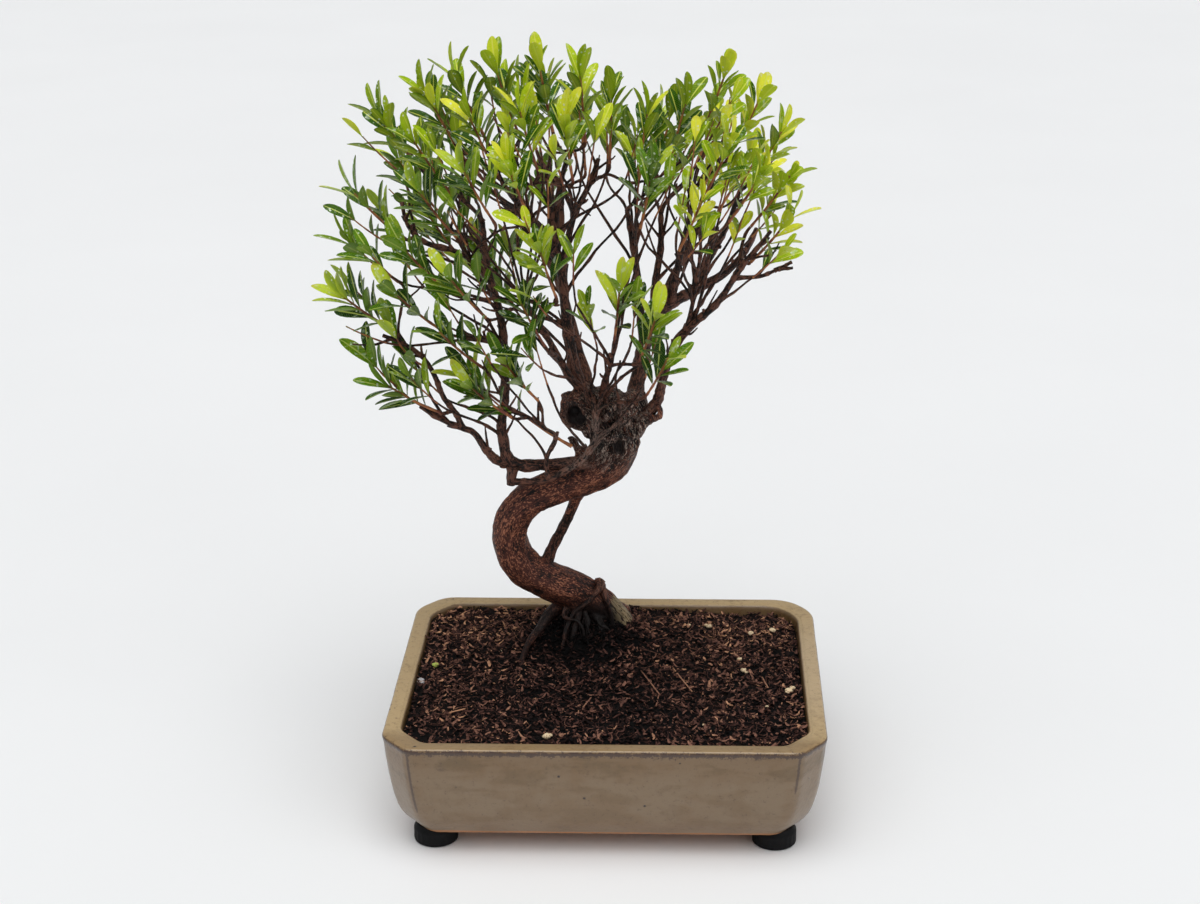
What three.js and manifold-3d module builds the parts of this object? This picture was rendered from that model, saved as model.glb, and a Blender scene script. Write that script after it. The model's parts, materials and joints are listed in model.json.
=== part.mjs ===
// Chinese myrtle bonsai with its glazed pot: an S-shaped trunk with a burl, woody limbs and leafy sprays.
// Millimetres, +Z up. The long front of the pot faces -Y, and the pot's feet stand on z = 0.
import * as THREE from "three";
import { mergeVertices } from "three/addons/utils/BufferGeometryUtils.js";
import Module from "manifold-3d";

const wasm = await Module();
wasm.setup();

// Pot: a rectangle with cut corners, seen from above. Each level is [inset from the rim's edge, height].
const POT_LENGTH = 260;
const POT_DEPTH = 215;
const POT_CORNER_X = 16;
const POT_CORNER_Y = 18.5;
const CORNER_FADE = 90;
const POT_SKEW = 5.5;
const RIM_HEIGHT = 75;
const RIM_WIDTH = 11;
const POT_UNDERSIDE = 12;
const POT_FLOOR = 20;
const POT_OUTSIDE = [
  [16, POT_UNDERSIDE],
  [14, 14],
  [10.2, 19],
  [7, 26],
  [4.6, 36],
  [2.8, 48],
  [1.4, 60],
  [0.7, 69],
  [0, 72.5],
  [1, RIM_HEIGHT],
];
const POT_INSIDE = [
  [22, POT_FLOOR],
  [17.5, 28],
  [14, 45],
  [12, 62],
  [RIM_WIDTH, 73],
  [RIM_WIDTH - 0.8, RIM_HEIGHT + 1],
];
const DRAIN_X = 52;
const DRAIN_RADIUS = 11;
const DRAIN_SIDES = 16;

// Black plug feet under the four corners.
const FOOT_X = 101;
const FOOT_Y = 76;
const FOOT_RADIUS = 13.2;
const FOOT_SIDES = 12;
const FOOT_EDGE = 0.8;
const FOOT_WAIST = 8.5;
const FOOT_TAPER = 1.6;

// Plastic mesh squares over the drain holes.
const MESH_SIDE = 34;
const MESH_THICKNESS = 1.2;
const MESH_HOLES = 3;
const MESH_HOLE_SIDE = 6.4;

// Soil: nearly level with the rim, mounded round the tree, and low at the back right corner.
const GAP = 0.3;
const SOIL_LEVEL = 71.8;
const SOIL_UNDERSIDE = POT_FLOOR + MESH_THICKNESS + GAP;
const MOUNDS = [
  { x: -8, y: 60, height: 10, spread: 36 },
  { x: -16, y: 57, height: 7, spread: 18 },
];
const LOW_CORNER_DROP = 4;
const LOW_CORNER_START = 0.25;
const CRUMB_HEIGHT = 1.1;
const SOIL_COLUMNS = 16;
const SOIL_ROWS = 13;
const SOIL_SEED = 3;
const GRAIN_PROUD = 0.3;
const GRAIN_TILT = 0.7;
const GRAIN_TURN = 1.3;
const GRAIN_PLACES = [
  [-34, -83, 2.6],
  [110, -19, 3],
  [89, 65, 2.6],
  [103, 71, 2.4],
  [81, 26, 2.4],
  [83, 10, 2.2],
  [62, 75, 2.2],
  [-115.4, -15, 2.5],
];

// Woody routes: each point is [x, y, z, radius].
const TRUNK_ROUTE = [
  [8, 70, 44, 14.5],
  [4, 66, 69, 14],
  [-6, 62, 87, 12.7],
  [-22, 56, 103, 12.5],
  [-38, 50, 112, 12],
  [-53, 45, 122, 12],
  [-62, 41, 136, 12],
  [-64, 39, 151, 11.5],
  [-59, 38, 165, 11],
  [-49, 38, 175, 11],
  [-35, 39, 181, 11],
  [-19, 40, 187, 11.5],
  [-4, 41, 196, 13],
  [2.5, 41, 208, 13.8],
  [1.5, 40, 221, 14],
  [-4, 39, 234, 13],
  [-8, 38, 243, 9],
];
const ROOT_ROUTES = [
  [
    [-28, 56, 98, 5.5],
    [-40, 54, 88, 4],
    [-46, 46, 82, 3.4],
    [-52, 34, 78, 2.9],
    [-54.5, 22, 75, 2.6],
    [-56, 12, 71, 2.4],
    [-58, 4, 64, 2.2],
  ],
  [
    [-20, 60, 100, 7.5],
    [-6, 61, 97, 6.5],
    [1, 63, 88, 5.5],
    [8, 66, 77, 4.5],
    [14, 67, 66, 4],
  ],
  [
    [-24, 50, 97, 5],
    [-22, 45, 90, 2.8],
    [-24, 40, 82, 2.2],
    [-27, 35, 70, 2],
  ],
  [
    [-14, 54, 92, 5],
    [-8, 48, 86, 2.8],
    [-5, 42, 79, 2.2],
    [-3, 37, 67, 2],
  ],
  [
    [0, 70, 84, 7],
    [6, 79, 80, 5],
    [9, 86, 68, 4],
  ],
];
const LIMB_ROUTES = {
  strut: [
    [-43, 50, 115, 4.2],
    [-41, 50, 127, 3.9],
    [-37, 50, 138, 3.6],
    [-32, 50, 148, 3.4],
    [-27, 49, 159, 3.4],
    [-21, 46, 176, 3.6],
  ],
  low_left: [
    [-7, 36, 202, 4.5],
    [-21, 30, 201, 4],
    [-37, 26, 201, 3.8],
    [-55, 22, 202, 3.8],
    [-63, 20, 208, 3.8],
    [-65, 20, 219, 3.2],
    [-66, 20, 228, 3],
    [-64, 22, 247, 2.8],
    [-64, 25, 274, 2.6],
    [-67, 28, 298, 2.4],
    [-72, 30, 316, 2.2],
    [-75, 31, 333, 1.9],
    [-76, 28, 352, 1.6],
  ],
  low_left_stub: [
    [-60, 22, 202, 3],
    [-61, 22, 189, 2.6],
  ],
  far_left: [
    [-58, 21, 203, 3],
    [-69, 19, 206, 2.6],
    [-75, 17, 213, 2.4],
    [-82, 14, 225, 2.1],
    [-89, 12, 229, 1.9],
    [-97, 10, 233, 1.8],
    [-106, 7, 239, 1.6],
    [-113, 5, 245, 1.4],
  ],
  left_riser: [
    [-89, 12, 229, 1.8],
    [-93, 10, 240, 1.7],
    [-99, 8, 249, 1.7],
    [-103, 6, 261, 1.6],
    [-106, 4, 269, 1.5],
    [-111, 2, 277, 1.4],
    [-122, 0, 286, 1.3],
    [-133, -2, 291, 1.2],
  ],
  trunk_front_twig: [
    [-61, 22, 191, 1.6],
    [-49, 20, 192, 1.5],
    [-38, 19, 194, 1.5],
    [-28, 18, 200, 1.5],
    [-19, 17, 206, 1.5],
    [-13, 16, 214, 1.5],
    [-9, 16, 224, 1.5],
    [-9, 17, 236, 1.5],
    [-12, 24, 245, 1.5],
  ],
  front_left_twig: [
    [-38, 19, 194, 1.4],
    [-39, 17, 208, 1.4],
    [-33, 12, 224, 1.3],
    [-39, 8, 231, 1.2],
    [-48, 4, 239, 1.2],
    [-59, 0, 246, 1.1],
  ],
  upper_left: [
    [-72, 30, 316, 2],
    [-84, 27, 330, 1.9],
    [-95, 24, 336, 1.8],
    [-106, 20, 340, 1.7],
    [-113, 18, 345, 1.5],
    [-119, 17, 353, 1.3],
    [-122, 18, 366, 1.2],
  ],
  centre_left: [
    [-14, 32, 244, 2.8],
    [-24, 28, 255, 2.4],
    [-31, 24, 269, 2.2],
    [-38, 20, 284, 2],
    [-45, 13, 299, 1.7],
    [-49, 4, 310, 1.4],
  ],
  centre: [
    [-10, 38, 236, 6],
    [-20, 39, 249, 5.2],
    [-24, 41, 263, 4.9],
    [-27, 43, 282, 4.5],
    [-29, 45, 300, 4],
    [-31, 46, 318, 3.5],
    [-35, 46, 337, 2.9],
    [-37, 45, 356, 2.3],
    [-39, 42, 376, 1.6],
  ],
  centre_fork_left: [
    [-31, 46, 318, 2.2],
    [-40, 40, 338, 2],
    [-50, 33, 356, 1.8],
    [-56, 26, 376, 1.4],
  ],
  centre_fork_top: [
    [-35, 46, 337, 2.2],
    [-33, 47, 361, 1.8],
    [-28, 46, 384, 1.4],
  ],
  centre_fork_right: [
    [-31, 46, 318, 2.2],
    [-24, 54, 348, 2],
    [-15, 57, 367, 1.7],
    [-9, 56, 384, 1.4],
  ],
  centre_fork_front: [
    [-35, 46, 337, 2.1],
    [-46, 24, 355, 1.8],
    [-54, 4, 370, 1.5],
    [-58, -14, 382, 1.3],
  ],
  back_left: [
    [-14, 44, 238, 4.5],
    [-21, 58, 262, 3.4],
    [-29, 76, 284, 3],
    [-38, 90, 306, 2.6],
    [-54, 100, 325, 2.1],
    [-70, 102, 345, 1.6],
  ],
  back_centre: [
    [-38, 90, 306, 2.2],
    [-34, 99, 330, 1.8],
    [-34, 103, 352, 1.5],
  ],
  rear_right: [
    [5, 43, 214, 7.5],
    [12, 50, 230, 5.5],
    [16, 60, 250, 4.8],
    [19, 67, 265, 4.6],
    [24, 73, 278, 4.4],
    [32, 77, 287, 4],
    [43, 80, 293, 3.6],
    [56, 82, 300, 3.1],
    [69, 83, 308, 2.6],
    [80, 80, 322, 2],
    [86, 72, 338, 1.6],
  ],
  rear_riser_1: [
    [19, 67, 265, 3],
    [16, 70, 287, 2.6],
    [14, 72, 308, 2.3],
    [11, 70, 329, 1.9],
    [8, 64, 350, 1.5],
  ],
  rear_riser_2: [
    [25, 73, 279, 2.8],
    [25, 76, 301, 2.4],
    [28, 79, 323, 2],
    [28, 82, 345, 1.5],
  ],
  rear_riser_3: [
    [35, 78, 289, 2.6],
    [38, 72, 310, 2.3],
    [42, 61, 333, 1.9],
    [46, 48, 354, 1.5],
    [48, 36, 370, 1.3],
  ],
  rear_riser_4: [
    [50, 81, 296, 2.5],
    [56, 70, 316, 2.2],
    [64, 56, 335, 1.8],
    [70, 42, 354, 1.5],
    [74, 32, 370, 1.3],
  ],
  back_right: [
    [24, 73, 278, 3],
    [33, 92, 296, 2.6],
    [45, 105, 317, 2.1],
    [54, 110, 338, 1.5],
  ],
  right: [
    [12, 38, 220, 6],
    [26, 33, 238, 3.8],
    [30, 29, 252, 3],
    [34, 26, 269, 2.9],
    [39, 24, 282, 2.8],
    [47, 21, 292, 2.7],
    [61, 17, 306, 2.4],
    [72, 13, 324, 2],
    [79, 10, 336, 1.7],
    [86, 8, 345, 1.5],
    [92, 6, 354, 1.3],
  ],
  far_right: [
    [72, 13, 324, 1.4],
    [87, 10, 326, 1.2],
    [99, 8, 332, 1.1],
  ],
  right_riser: [
    [45, 22, 290, 1.6],
    [48, 16, 308, 1.4],
    [50, 4, 326, 1.3],
    [52, -8, 344, 1.1],
  ],
  front: [
    [-6, 32, 240, 2.8],
    [-3, 16, 260, 2],
    [0, 4, 272, 1.5],
  ],
};

// Burl: knobs [centre, radii] and the hollows cut in them.
const BURL_KNOBS = [
  { centre: [-21, 28, 233], radii: [12.5, 12, 12] },
  { centre: [0.5, 39, 222], radii: [16, 15, 20] },
  { centre: [25.5, 33, 233.5], radii: [5, 5, 7] },
  { centre: [-4, 44, 238], radii: [13, 10, 8] },
];
const BURL_HOLLOWS = [
  { centre: [-25, 18.5, 236], radii: [6, 8, 7] },
  { centre: [26, 27, 235], radii: [2.4, 3, 2.4] },
  { centre: [4.5, 23.5, 213], radii: [2.8, 4, 7] },
];

// Bark ridges that wind up the trunk: depth is a share of the radius.
const BARK_RIDGES = [
  { depth: 0.05, count: 3, twist: 0.5 },
  { depth: 0.035, count: 5, twist: -0.9 },
];
const TRUNK_SIDES = 10;
const ROOT_SIDES = 5;
const TWIG_SIDES = 3;
const THICK_LIMB_RADIUS = 3.3;

// The rings of the trunk that stand in the soil, and how much wider the holes for the roots are.
const TRUNK_RINGS_IN_SOIL = 10;
const ROOT_HOLE_GAP = 1.25 * GAP;

// Sprays point away from the crown's hub, and all lean upwards.
const CROWN_HUB = [-5, 35, 250];
const HEIGHT_SHARE = 0.55;
const UPWARD_LEAN = 60;

// Twigs: a low cost means near and behind the spray.
const TWIG_BASE_RADIUS = 1.6;
const TWIG_TIP_RADIUS = 1;
const TWIG_PULL = 0.35;
const TWIG_TO_WOOD = 0.85;
const TWIG_STEPS = 3;
const SHORTEST_TWIG = 6;
const LEAST_RISE = -2;
const TURN_COST = 1.5;

// The young stem of a spray, bent aside where it would meet other wood.
const STEM_LENGTH = 34;
const STEM_BEHIND = 34;
const STEM_RADIUS = 1.05;
const STEM_TAPER = 0.3;
const STEM_STEPS = 3;
const STEM_TRIES = 12;
const STEM_CLEARANCE = 2.6;
const STEM_RISE = 0.14;

// Leaves: lengths and spreads (in radians) are drawn between two values.
const LEAF_LENGTH = 26;
const LEAF_WIDTH = 8;
const LEAF_THICKNESS = 0.7;
const LEAF_LIFT = 0.12;
const LEAF_CURL = 0.1;
const LEAF_ROOT_DEPTH = 0.7;
const SHORTEST_LEAF = 0.88;
const LONGEST_LEAF = 1.06;
const LENGTH_LOSS = 0.12;
const LEAST_SPREAD = 0.8;
const MOST_SPREAD = 1;
const SPREAD_LOSS = 0.35;
const TIP_SPREAD = 0.15;
const TIP_LENGTH = 0.85;
const LEAF_PAIRS = 3;
const FIRST_PAIR = 0.45;
const LAST_PAIR = 0.94;
const NODE_LENGTH = 2.6;
const ROLLS = [0, 0.3, -0.3, 0.6, -0.6];
const SPRAY_SEED = 40;
const BLADE_RINGS = [
  { share: 0.33, width: 0.78 },
  { share: 0.74, width: 0.9 },
];

// What a leaf keeps clear of, measured at points on its rib and its edges.
const RIB_PROBES = [0.25, 0.5, 0.75, 1];
const EDGE_PROBES = [0.5, 0.75];
const LEAF_CLEARANCE = 5;
const OWN_LEAF_CLEARANCE = 2.4;
const WOOD_CLEARANCE = 3.4;

// The young, lime leaves are at the top and the right of the crown.
const YOUNG_ABOVE = 398;
const YOUNG_RIGHT_OF = 45;

// Centres of the leaf tufts, one spray to each. The crown is fuller at the left, top and right.
const TUFT_CENTRES = [
  [-154, -5, 310],
  [-130, -5, 256],
  [-151, 5, 340],
  [-148, 10, 368],
  [-135, 30, 409],
  [-116, -20, 343],
  [-123, -16, 316],
  [-106, -28, 379],
  [-110, -10, 403],
  [-106, 15, 426],
  [-90, 25, 434],
  [-97, -25, 296],
  [-80, -22, 262],
  [-61, -12, 274],
  [-89, -38, 332],
  [-79, -40, 393],
  [-78, -12, 417],
  [-111, 60, 342],
  [-130, 75, 372],
  [-100, 80, 398],
  [-81, 56, 322],
  [-65, 15, 438],
  [-41, 20, 440],
  [-18, 25, 434],
  [-49, -27, 424],
  [-25, -20, 417],
  [-54, -52, 400],
  [-1, 44, 418],
  [-58, 90, 414],
  [-22, 108, 398],
  [-48, 118, 358],
  [-37, -48, 350],
  [-49, -34, 316],
  [6, -18, 320],
  [27, -28, 307],
  [34, -32, 284],
  [20, 36, 410],
  [33, 62, 404],
  [42, 18, 420],
  [64, 20, 436],
  [84, 25, 421],
  [98, 38, 400],
  [103, 30, 376],
  [104, 12, 357],
  [67, -30, 408],
  [86, -10, 388],
  [52, -30, 376],
  [24, -12, 388],
  [27, 102, 394],
  [60, 108, 396],
  [82, 104, 372],
];

// A stream of random numbers from 0 to 1 that is the same on every run.
const LCG_MULTIPLIER = 1664525;
const LCG_INCREMENT = 1013904223;
const LCG_RANGE = 4294967296;
const SEED_STEP = 7919;
const SEED_START = 17;
const WARM_UP_DRAWS = 5;
function randomStream(seed) {
  let state = (seed * SEED_STEP + SEED_START) >>> 0;
  const draw = () => {
    state = (Math.imul(state, LCG_MULTIPLIER) + LCG_INCREMENT) >>> 0;
    return state / LCG_RANGE;
  };
  for (let i = 0; i < WARM_UP_DRAWS; i += 1) draw();
  return draw;
}

function between(draw, low, high) {
  return low + (high - low) * draw();
}

const vector = ([x, y, z]) => new THREE.Vector3(x, y, z);

// Solids for joining and cutting, and back to geometries.
const MERGE_DISTANCE = 1e-4;
function solidOf(geometry) {
  const bare = new THREE.BufferGeometry();
  bare.setAttribute("position", geometry.getAttribute("position"));
  bare.setIndex(geometry.index);
  const merged = mergeVertices(bare, MERGE_DISTANCE);
  const mesh = new wasm.Mesh({
    numProp: 3,
    vertProperties: new Float32Array(merged.attributes.position.array),
    triVerts: new Uint32Array(merged.index.array),
  });
  return new wasm.Manifold(mesh);
}

function geometryOf(solid) {
  const mesh = solid.getMesh();
  const geometry = new THREE.BufferGeometry();
  geometry.setAttribute("position", new THREE.BufferAttribute(mesh.vertProperties, 3));
  geometry.setIndex(new THREE.BufferAttribute(mesh.triVerts, 1));
  geometry.computeVertexNormals();
  return geometry;
}

function joined(geometries) {
  return geometries.map(solidOf).reduce((whole, piece) => whole.add(piece));
}

function geometryFrom(points, faces) {
  const geometry = new THREE.BufferGeometry();
  const numbers = points.flatMap((point) => point.toArray());
  geometry.setAttribute("position", new THREE.Float32BufferAttribute(numbers, 3));
  geometry.setIndex(faces.flat());
  return geometry;
}

// Joins closed rings of equal point count by walls, and closes the first and last ring.
function skinned(rings) {
  const sides = rings[0].length;
  const faces = [];
  for (let i = 0; i + 1 < rings.length; i += 1) {
    for (let j = 0; j < sides; j += 1) {
      const next = (j + 1) % sides;
      const [a, b] = [i * sides + j, i * sides + next];
      faces.push([a, b, b + sides], [a, b + sides, a + sides]);
    }
  }
  const last = (rings.length - 1) * sides;
  for (let j = 1; j + 1 < sides; j += 1) {
    faces.push([0, j + 1, j], [last, last + j, last + j + 1]);
  }
  return geometryFrom(rings.flat(), faces);
}

// A smooth line through route points, as rings' centres with the radius and direction at each.
function sampledRoute(route, stepsPerSpan) {
  const curve = new THREE.CatmullRomCurve3(route.map(vector), false, "catmullrom", 0.5);
  const steps = (route.length - 1) * stepsPerSpan;
  const centres = curve.getPoints(steps);
  return centres.map((centre, i) => {
    const span = Math.min(Math.floor(i / stepsPerSpan), route.length - 2);
    const share = i / stepsPerSpan - span;
    const radius = THREE.MathUtils.lerp(route[span][3], route[span + 1][3], share);
    const before = centres[Math.max(i - 1, 0)];
    const after = centres[Math.min(i + 1, steps)];
    return { centre, radius, tangent: after.clone().sub(before).normalize() };
  });
}

// A tapered tube along samples. roughness(i, angle) scales the radius for bark ridges.
const STEEP = 0.9;
function tube(samples, sides, roughness = () => 1) {
  const isSteep = Math.abs(samples[0].tangent.z) > STEEP;
  const across = isSteep ? new THREE.Vector3(1, 0, 0) : new THREE.Vector3(0, 0, 1);
  const rings = samples.map(({ centre, radius, tangent }, i) => {
    across.addScaledVector(tangent, -across.dot(tangent)).normalize();
    const along = new THREE.Vector3().crossVectors(tangent, across);
    return Array.from({ length: sides }, (_, j) => {
      const angle = (j * 2 * Math.PI) / sides;
      const reach = radius * roughness(i, angle);
      return centre
        .clone()
        .addScaledVector(across, reach * Math.cos(angle))
        .addScaledVector(along, reach * Math.sin(angle));
    });
  });
  return skinned(rings);
}

// The pot is a little out of square: how far back it lies at x.
function potSkew(x) {
  return POT_SKEW * (0.5 + x / POT_LENGTH);
}

// A ring of the pot's outline: a rectangle with cut corners, inset from the rim's edge.
function potRing(inset, z) {
  const halfX = POT_LENGTH / 2 - inset;
  const halfY = POT_DEPTH / 2 - inset;
  const shrink = 1 - inset / CORNER_FADE;
  const cutX = POT_CORNER_X * shrink;
  const cutY = POT_CORNER_Y * shrink;
  const corners = [
    [halfX, -halfY + cutY],
    [halfX, halfY - cutY],
    [halfX - cutX, halfY],
    [-halfX + cutX, halfY],
    [-halfX, halfY - cutY],
    [-halfX, -halfY + cutY],
    [-halfX + cutX, -halfY],
    [halfX - cutX, -halfY],
  ];
  return corners.map(([x, y]) => new THREE.Vector3(x, y + potSkew(x), z));
}

function potLoft(levels, extraInset = 0) {
  return skinned(levels.map(([inset, z]) => potRing(inset + extraInset, z)));
}

function upright(geometry, x, y, z) {
  return geometry.rotateX(Math.PI / 2).translate(x, y, z);
}

function makePot() {
  const hollow = solidOf(potLoft(POT_INSIDE));
  const drains = [-DRAIN_X, DRAIN_X].map((x) => {
    const rod = new THREE.CylinderGeometry(DRAIN_RADIUS, DRAIN_RADIUS, 2 * POT_FLOOR, DRAIN_SIDES);
    return solidOf(upright(rod, x, 0, POT_FLOOR));
  });
  const shell = solidOf(potLoft(POT_OUTSIDE)).subtract(hollow);
  return geometryOf(drains.reduce((left, drain) => left.subtract(drain), shell));
}

function makeFoot() {
  const profile = [
    [0, 0],
    [FOOT_RADIUS - FOOT_EDGE, 0],
    [FOOT_RADIUS, FOOT_EDGE],
    [FOOT_RADIUS, FOOT_WAIST],
    [FOOT_RADIUS - FOOT_TAPER, POT_UNDERSIDE],
    [0, POT_UNDERSIDE],
  ];
  const lathe = new THREE.LatheGeometry(profile.map(([r, z]) => new THREE.Vector2(r, z)), FOOT_SIDES);
  return upright(lathe, 0, 0, 0);
}

function makeDrainMesh() {
  const block = (side, thickness, x, y) =>
    solidOf(new THREE.BoxGeometry(side, side, thickness).translate(x, y, MESH_THICKNESS / 2));
  const pitch = MESH_SIDE / MESH_HOLES;
  let plate = block(MESH_SIDE, MESH_THICKNESS, 0, 0);
  for (let i = 0; i < MESH_HOLES; i += 1) {
    for (let j = 0; j < MESH_HOLES; j += 1) {
      const [x, y] = [i, j].map((k) => pitch * (k + 0.5) - MESH_SIDE / 2);
      plate = plate.subtract(block(MESH_HOLE_SIDE, 2 * MESH_THICKNESS, x, y));
    }
  }
  return geometryOf(plate);
}

function soilHeight(x, y) {
  const towardsCorner = x / POT_LENGTH + y / POT_DEPTH - LOW_CORNER_START;
  const lowCorner = LOW_CORNER_DROP * Math.max(0, towardsCorner);
  const rises = MOUNDS.map(
    (mound) => mound.height * Math.exp(-((Math.hypot(x - mound.x, y - mound.y) / mound.spread) ** 2)),
  );
  return rises.reduce((level, rise) => level + rise, SOIL_LEVEL - lowCorner);
}

// A block with a crumbly top, trimmed to the pot's inside.
function soilBlock() {
  const draw = randomStream(SOIL_SEED);
  const columns = SOIL_COLUMNS;
  const rows = SOIL_ROWS;
  const points = [];
  for (let row = 0; row <= rows; row += 1) {
    for (let column = 0; column <= columns; column += 1) {
      const x = (column / columns - 0.5) * POT_LENGTH;
      const y = (row / rows - 0.5) * POT_DEPTH;
      const crumb = between(draw, -CRUMB_HEIGHT, CRUMB_HEIGHT);
      points.push(new THREE.Vector3(x, y, soilHeight(x, y) + crumb));
    }
  }
  const faces = [];
  const at = (column, row) => row * (columns + 1) + column;
  for (let row = 0; row < rows; row += 1) {
    for (let column = 0; column < columns; column += 1) {
      const [a, b] = [at(column, row), at(column + 1, row)];
      const [c, d] = [at(column + 1, row + 1), at(column, row + 1)];
      faces.push([a, b, c], [a, c, d]);
    }
  }
  const edge = [];
  for (let column = 0; column < columns; column += 1) edge.push(at(column, 0));
  for (let row = 0; row < rows; row += 1) edge.push(at(columns, row));
  for (let column = columns; column > 0; column -= 1) edge.push(at(column, rows));
  for (let row = rows; row > 0; row -= 1) edge.push(at(0, row));
  const first = points.length;
  edge.forEach((index) => points.push(points[index].clone().setZ(0)));
  edge.forEach((index, i) => {
    const next = (i + 1) % edge.length;
    faces.push([first + i, first + next, edge[next]], [first + i, edge[next], index]);
  });
  for (let i = 1; i + 1 < edge.length; i += 1) faces.push([first, first + i + 1, first + i]);
  return solidOf(geometryFrom(points, faces));
}

function grains() {
  return GRAIN_PLACES.map(([x, y, radius], i) => {
    const grain = new THREE.OctahedronGeometry(radius);
    grain.rotateX(i * GRAIN_TILT);
    grain.rotateZ(i * GRAIN_TURN);
    return grain.translate(x, y, soilHeight(x, y) + GRAIN_PROUD * radius);
  });
}

function makeSoil(woodInSoil) {
  const inside = POT_INSIDE.map(([inset, z]) => [inset, z === POT_FLOOR ? SOIL_UNDERSIDE : z]);
  const bed = soilBlock().intersect(solidOf(potLoft(inside, GAP)));
  const grainy = grains().reduce((soil, grain) => soil.add(solidOf(grain)), bed);
  return geometryOf(woodInSoil.reduce((soil, wood) => soil.subtract(wood), grainy));
}

function ellipsoid({ centre, radii }, detail) {
  return new THREE.IcosahedronGeometry(1, detail).scale(...radii).translate(...centre);
}

function barkRidges(i, angle) {
  const ridge = ({ depth, count, twist }) => depth * Math.sin(count * angle + twist * i);
  return BARK_RIDGES.reduce((reach, entry) => reach + ridge(entry), 1);
}

function widened(samples, margin) {
  return samples.map((sample) => ({ ...sample, radius: sample.radius + margin }));
}

const trunkSamples = sampledRoute(TRUNK_ROUTE, 2);
const rootSamples = ROOT_ROUTES.map((route) => sampledRoute(route, 1));
const limbSamples = Object.values(LIMB_ROUTES).map((route) => sampledRoute(route, 1));

// A spray starts behind its tuft's centre and points up and out from the crown's hub.
function sprayStart(centre) {
  const [hubX, hubY, hubZ] = CROWN_HUB;
  const [x, y, z] = centre;
  const rise = HEIGHT_SHARE * (z - hubZ) + UPWARD_LEAN;
  const direction = new THREE.Vector3(x - hubX, y - hubY, rise).normalize();
  const base = vector(centre).addScaledVector(direction, -STEM_BEHIND);
  return { base, direction };
}

// The wood that a new twig leaves from: near, below the spray's base and behind it.
function bestHold(wood, base, direction) {
  let best = null;
  let lowestCost = Infinity;
  for (const sample of wood) {
    const way = base.clone().sub(sample.centre);
    const distance = way.length();
    const cost = distance * (TURN_COST - way.dot(direction) / distance);
    if (distance > SHORTEST_TWIG && way.z > LEAST_RISE && cost < lowestCost) {
      lowestCost = cost;
      best = sample;
    }
  }
  return best;
}

function twigSamples(hold, base, direction) {
  const way = base.clone().sub(hold.centre);
  const pull = way.length() * TWIG_PULL;
  const leaving = way.clone().normalize().add(hold.tangent).normalize();
  const curve = new THREE.CubicBezierCurve3(
    hold.centre,
    hold.centre.clone().addScaledVector(leaving, pull),
    base.clone().addScaledVector(direction, -pull),
    base,
  );
  const startRadius = Math.min(TWIG_BASE_RADIUS, hold.radius * TWIG_TO_WOOD);
  return curve.getPoints(TWIG_STEPS).map((centre, i) => ({
    centre,
    radius: THREE.MathUtils.lerp(startRadius, TWIG_TIP_RADIUS, i / TWIG_STEPS),
    tangent: curve.getTangent(i / TWIG_STEPS),
  }));
}

function growTwigs(starts) {
  const wood = limbSamples.flat();
  return starts.map(({ base, direction }) => {
    const samples = twigSamples(bestHold(wood, base, direction), base, direction);
    wood.push(...samples.slice(1, -1));
    return samples;
  });
}

// Each thing that a leaf keeps clear of is a straight stretch with a radius and an owner.
function stretches(samples, owner) {
  return samples.slice(1).map((sample, i) => ({
    from: samples[i].centre,
    to: sample.centre,
    radius: Math.max(samples[i].radius, sample.radius),
    owner,
  }));
}

function gapTo(point, { from, to, radius }) {
  const way = to.clone().sub(from);
  const share = THREE.MathUtils.clamp(point.clone().sub(from).dot(way) / way.lengthSq(), 0, 1);
  return point.distanceTo(from.clone().addScaledVector(way, share)) - radius;
}

function stemSamples(start, owner, obstacles) {
  const { base, direction } = start;
  const side = new THREE.Vector3(-direction.y, direction.x, 0).normalize();
  let samples = [];
  for (let attempt = 0; attempt < STEM_TRIES; attempt += 1) {
    const lean = Math.ceil(attempt / 2) * STEM_RISE * (attempt % 2 ? 1 : -1);
    const bend = new THREE.Vector3(0, 0, STEM_RISE).addScaledVector(side, lean);
    samples = Array.from({ length: STEM_STEPS + 1 }, (_, i) => {
      const share = i / STEM_STEPS;
      const centre = base
        .clone()
        .addScaledVector(direction, GAP + STEM_LENGTH * share)
        .addScaledVector(bend, STEM_LENGTH * share * share);
      const tangent = direction.clone().addScaledVector(bend, 2 * share).normalize();
      return { centre, radius: STEM_RADIUS * (1 - STEM_TAPER * share), tangent };
    });
    const others = obstacles.filter((stretch) => stretch.owner !== owner);
    const hasRoom = samples.slice(1).every(({ centre }) =>
      others.every((stretch) => gapTo(centre, stretch) > STEM_CLEARANCE),
    );
    if (hasRoom) return samples;
  }
  return samples;
}

// A leaf's own frame: root, direction, upward face, and a slight backward curl.
function leafPoint(leaf, share, offset = 0, lift = 0) {
  const curl = -leaf.curl * leaf.length * share * share;
  return leaf.root
    .clone()
    .addScaledVector(leaf.direction, leaf.length * share)
    .addScaledVector(leaf.across, offset)
    .addScaledVector(leaf.face, curl + lift);
}

function leafProbes(leaf) {
  const half = leaf.width / 2;
  const rib = RIB_PROBES.map((share) => leafPoint(leaf, share));
  const edges = EDGE_PROBES.flatMap((share) => [half, -half].map((side) => leafPoint(leaf, share, side)));
  return [...rib, ...edges];
}

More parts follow.
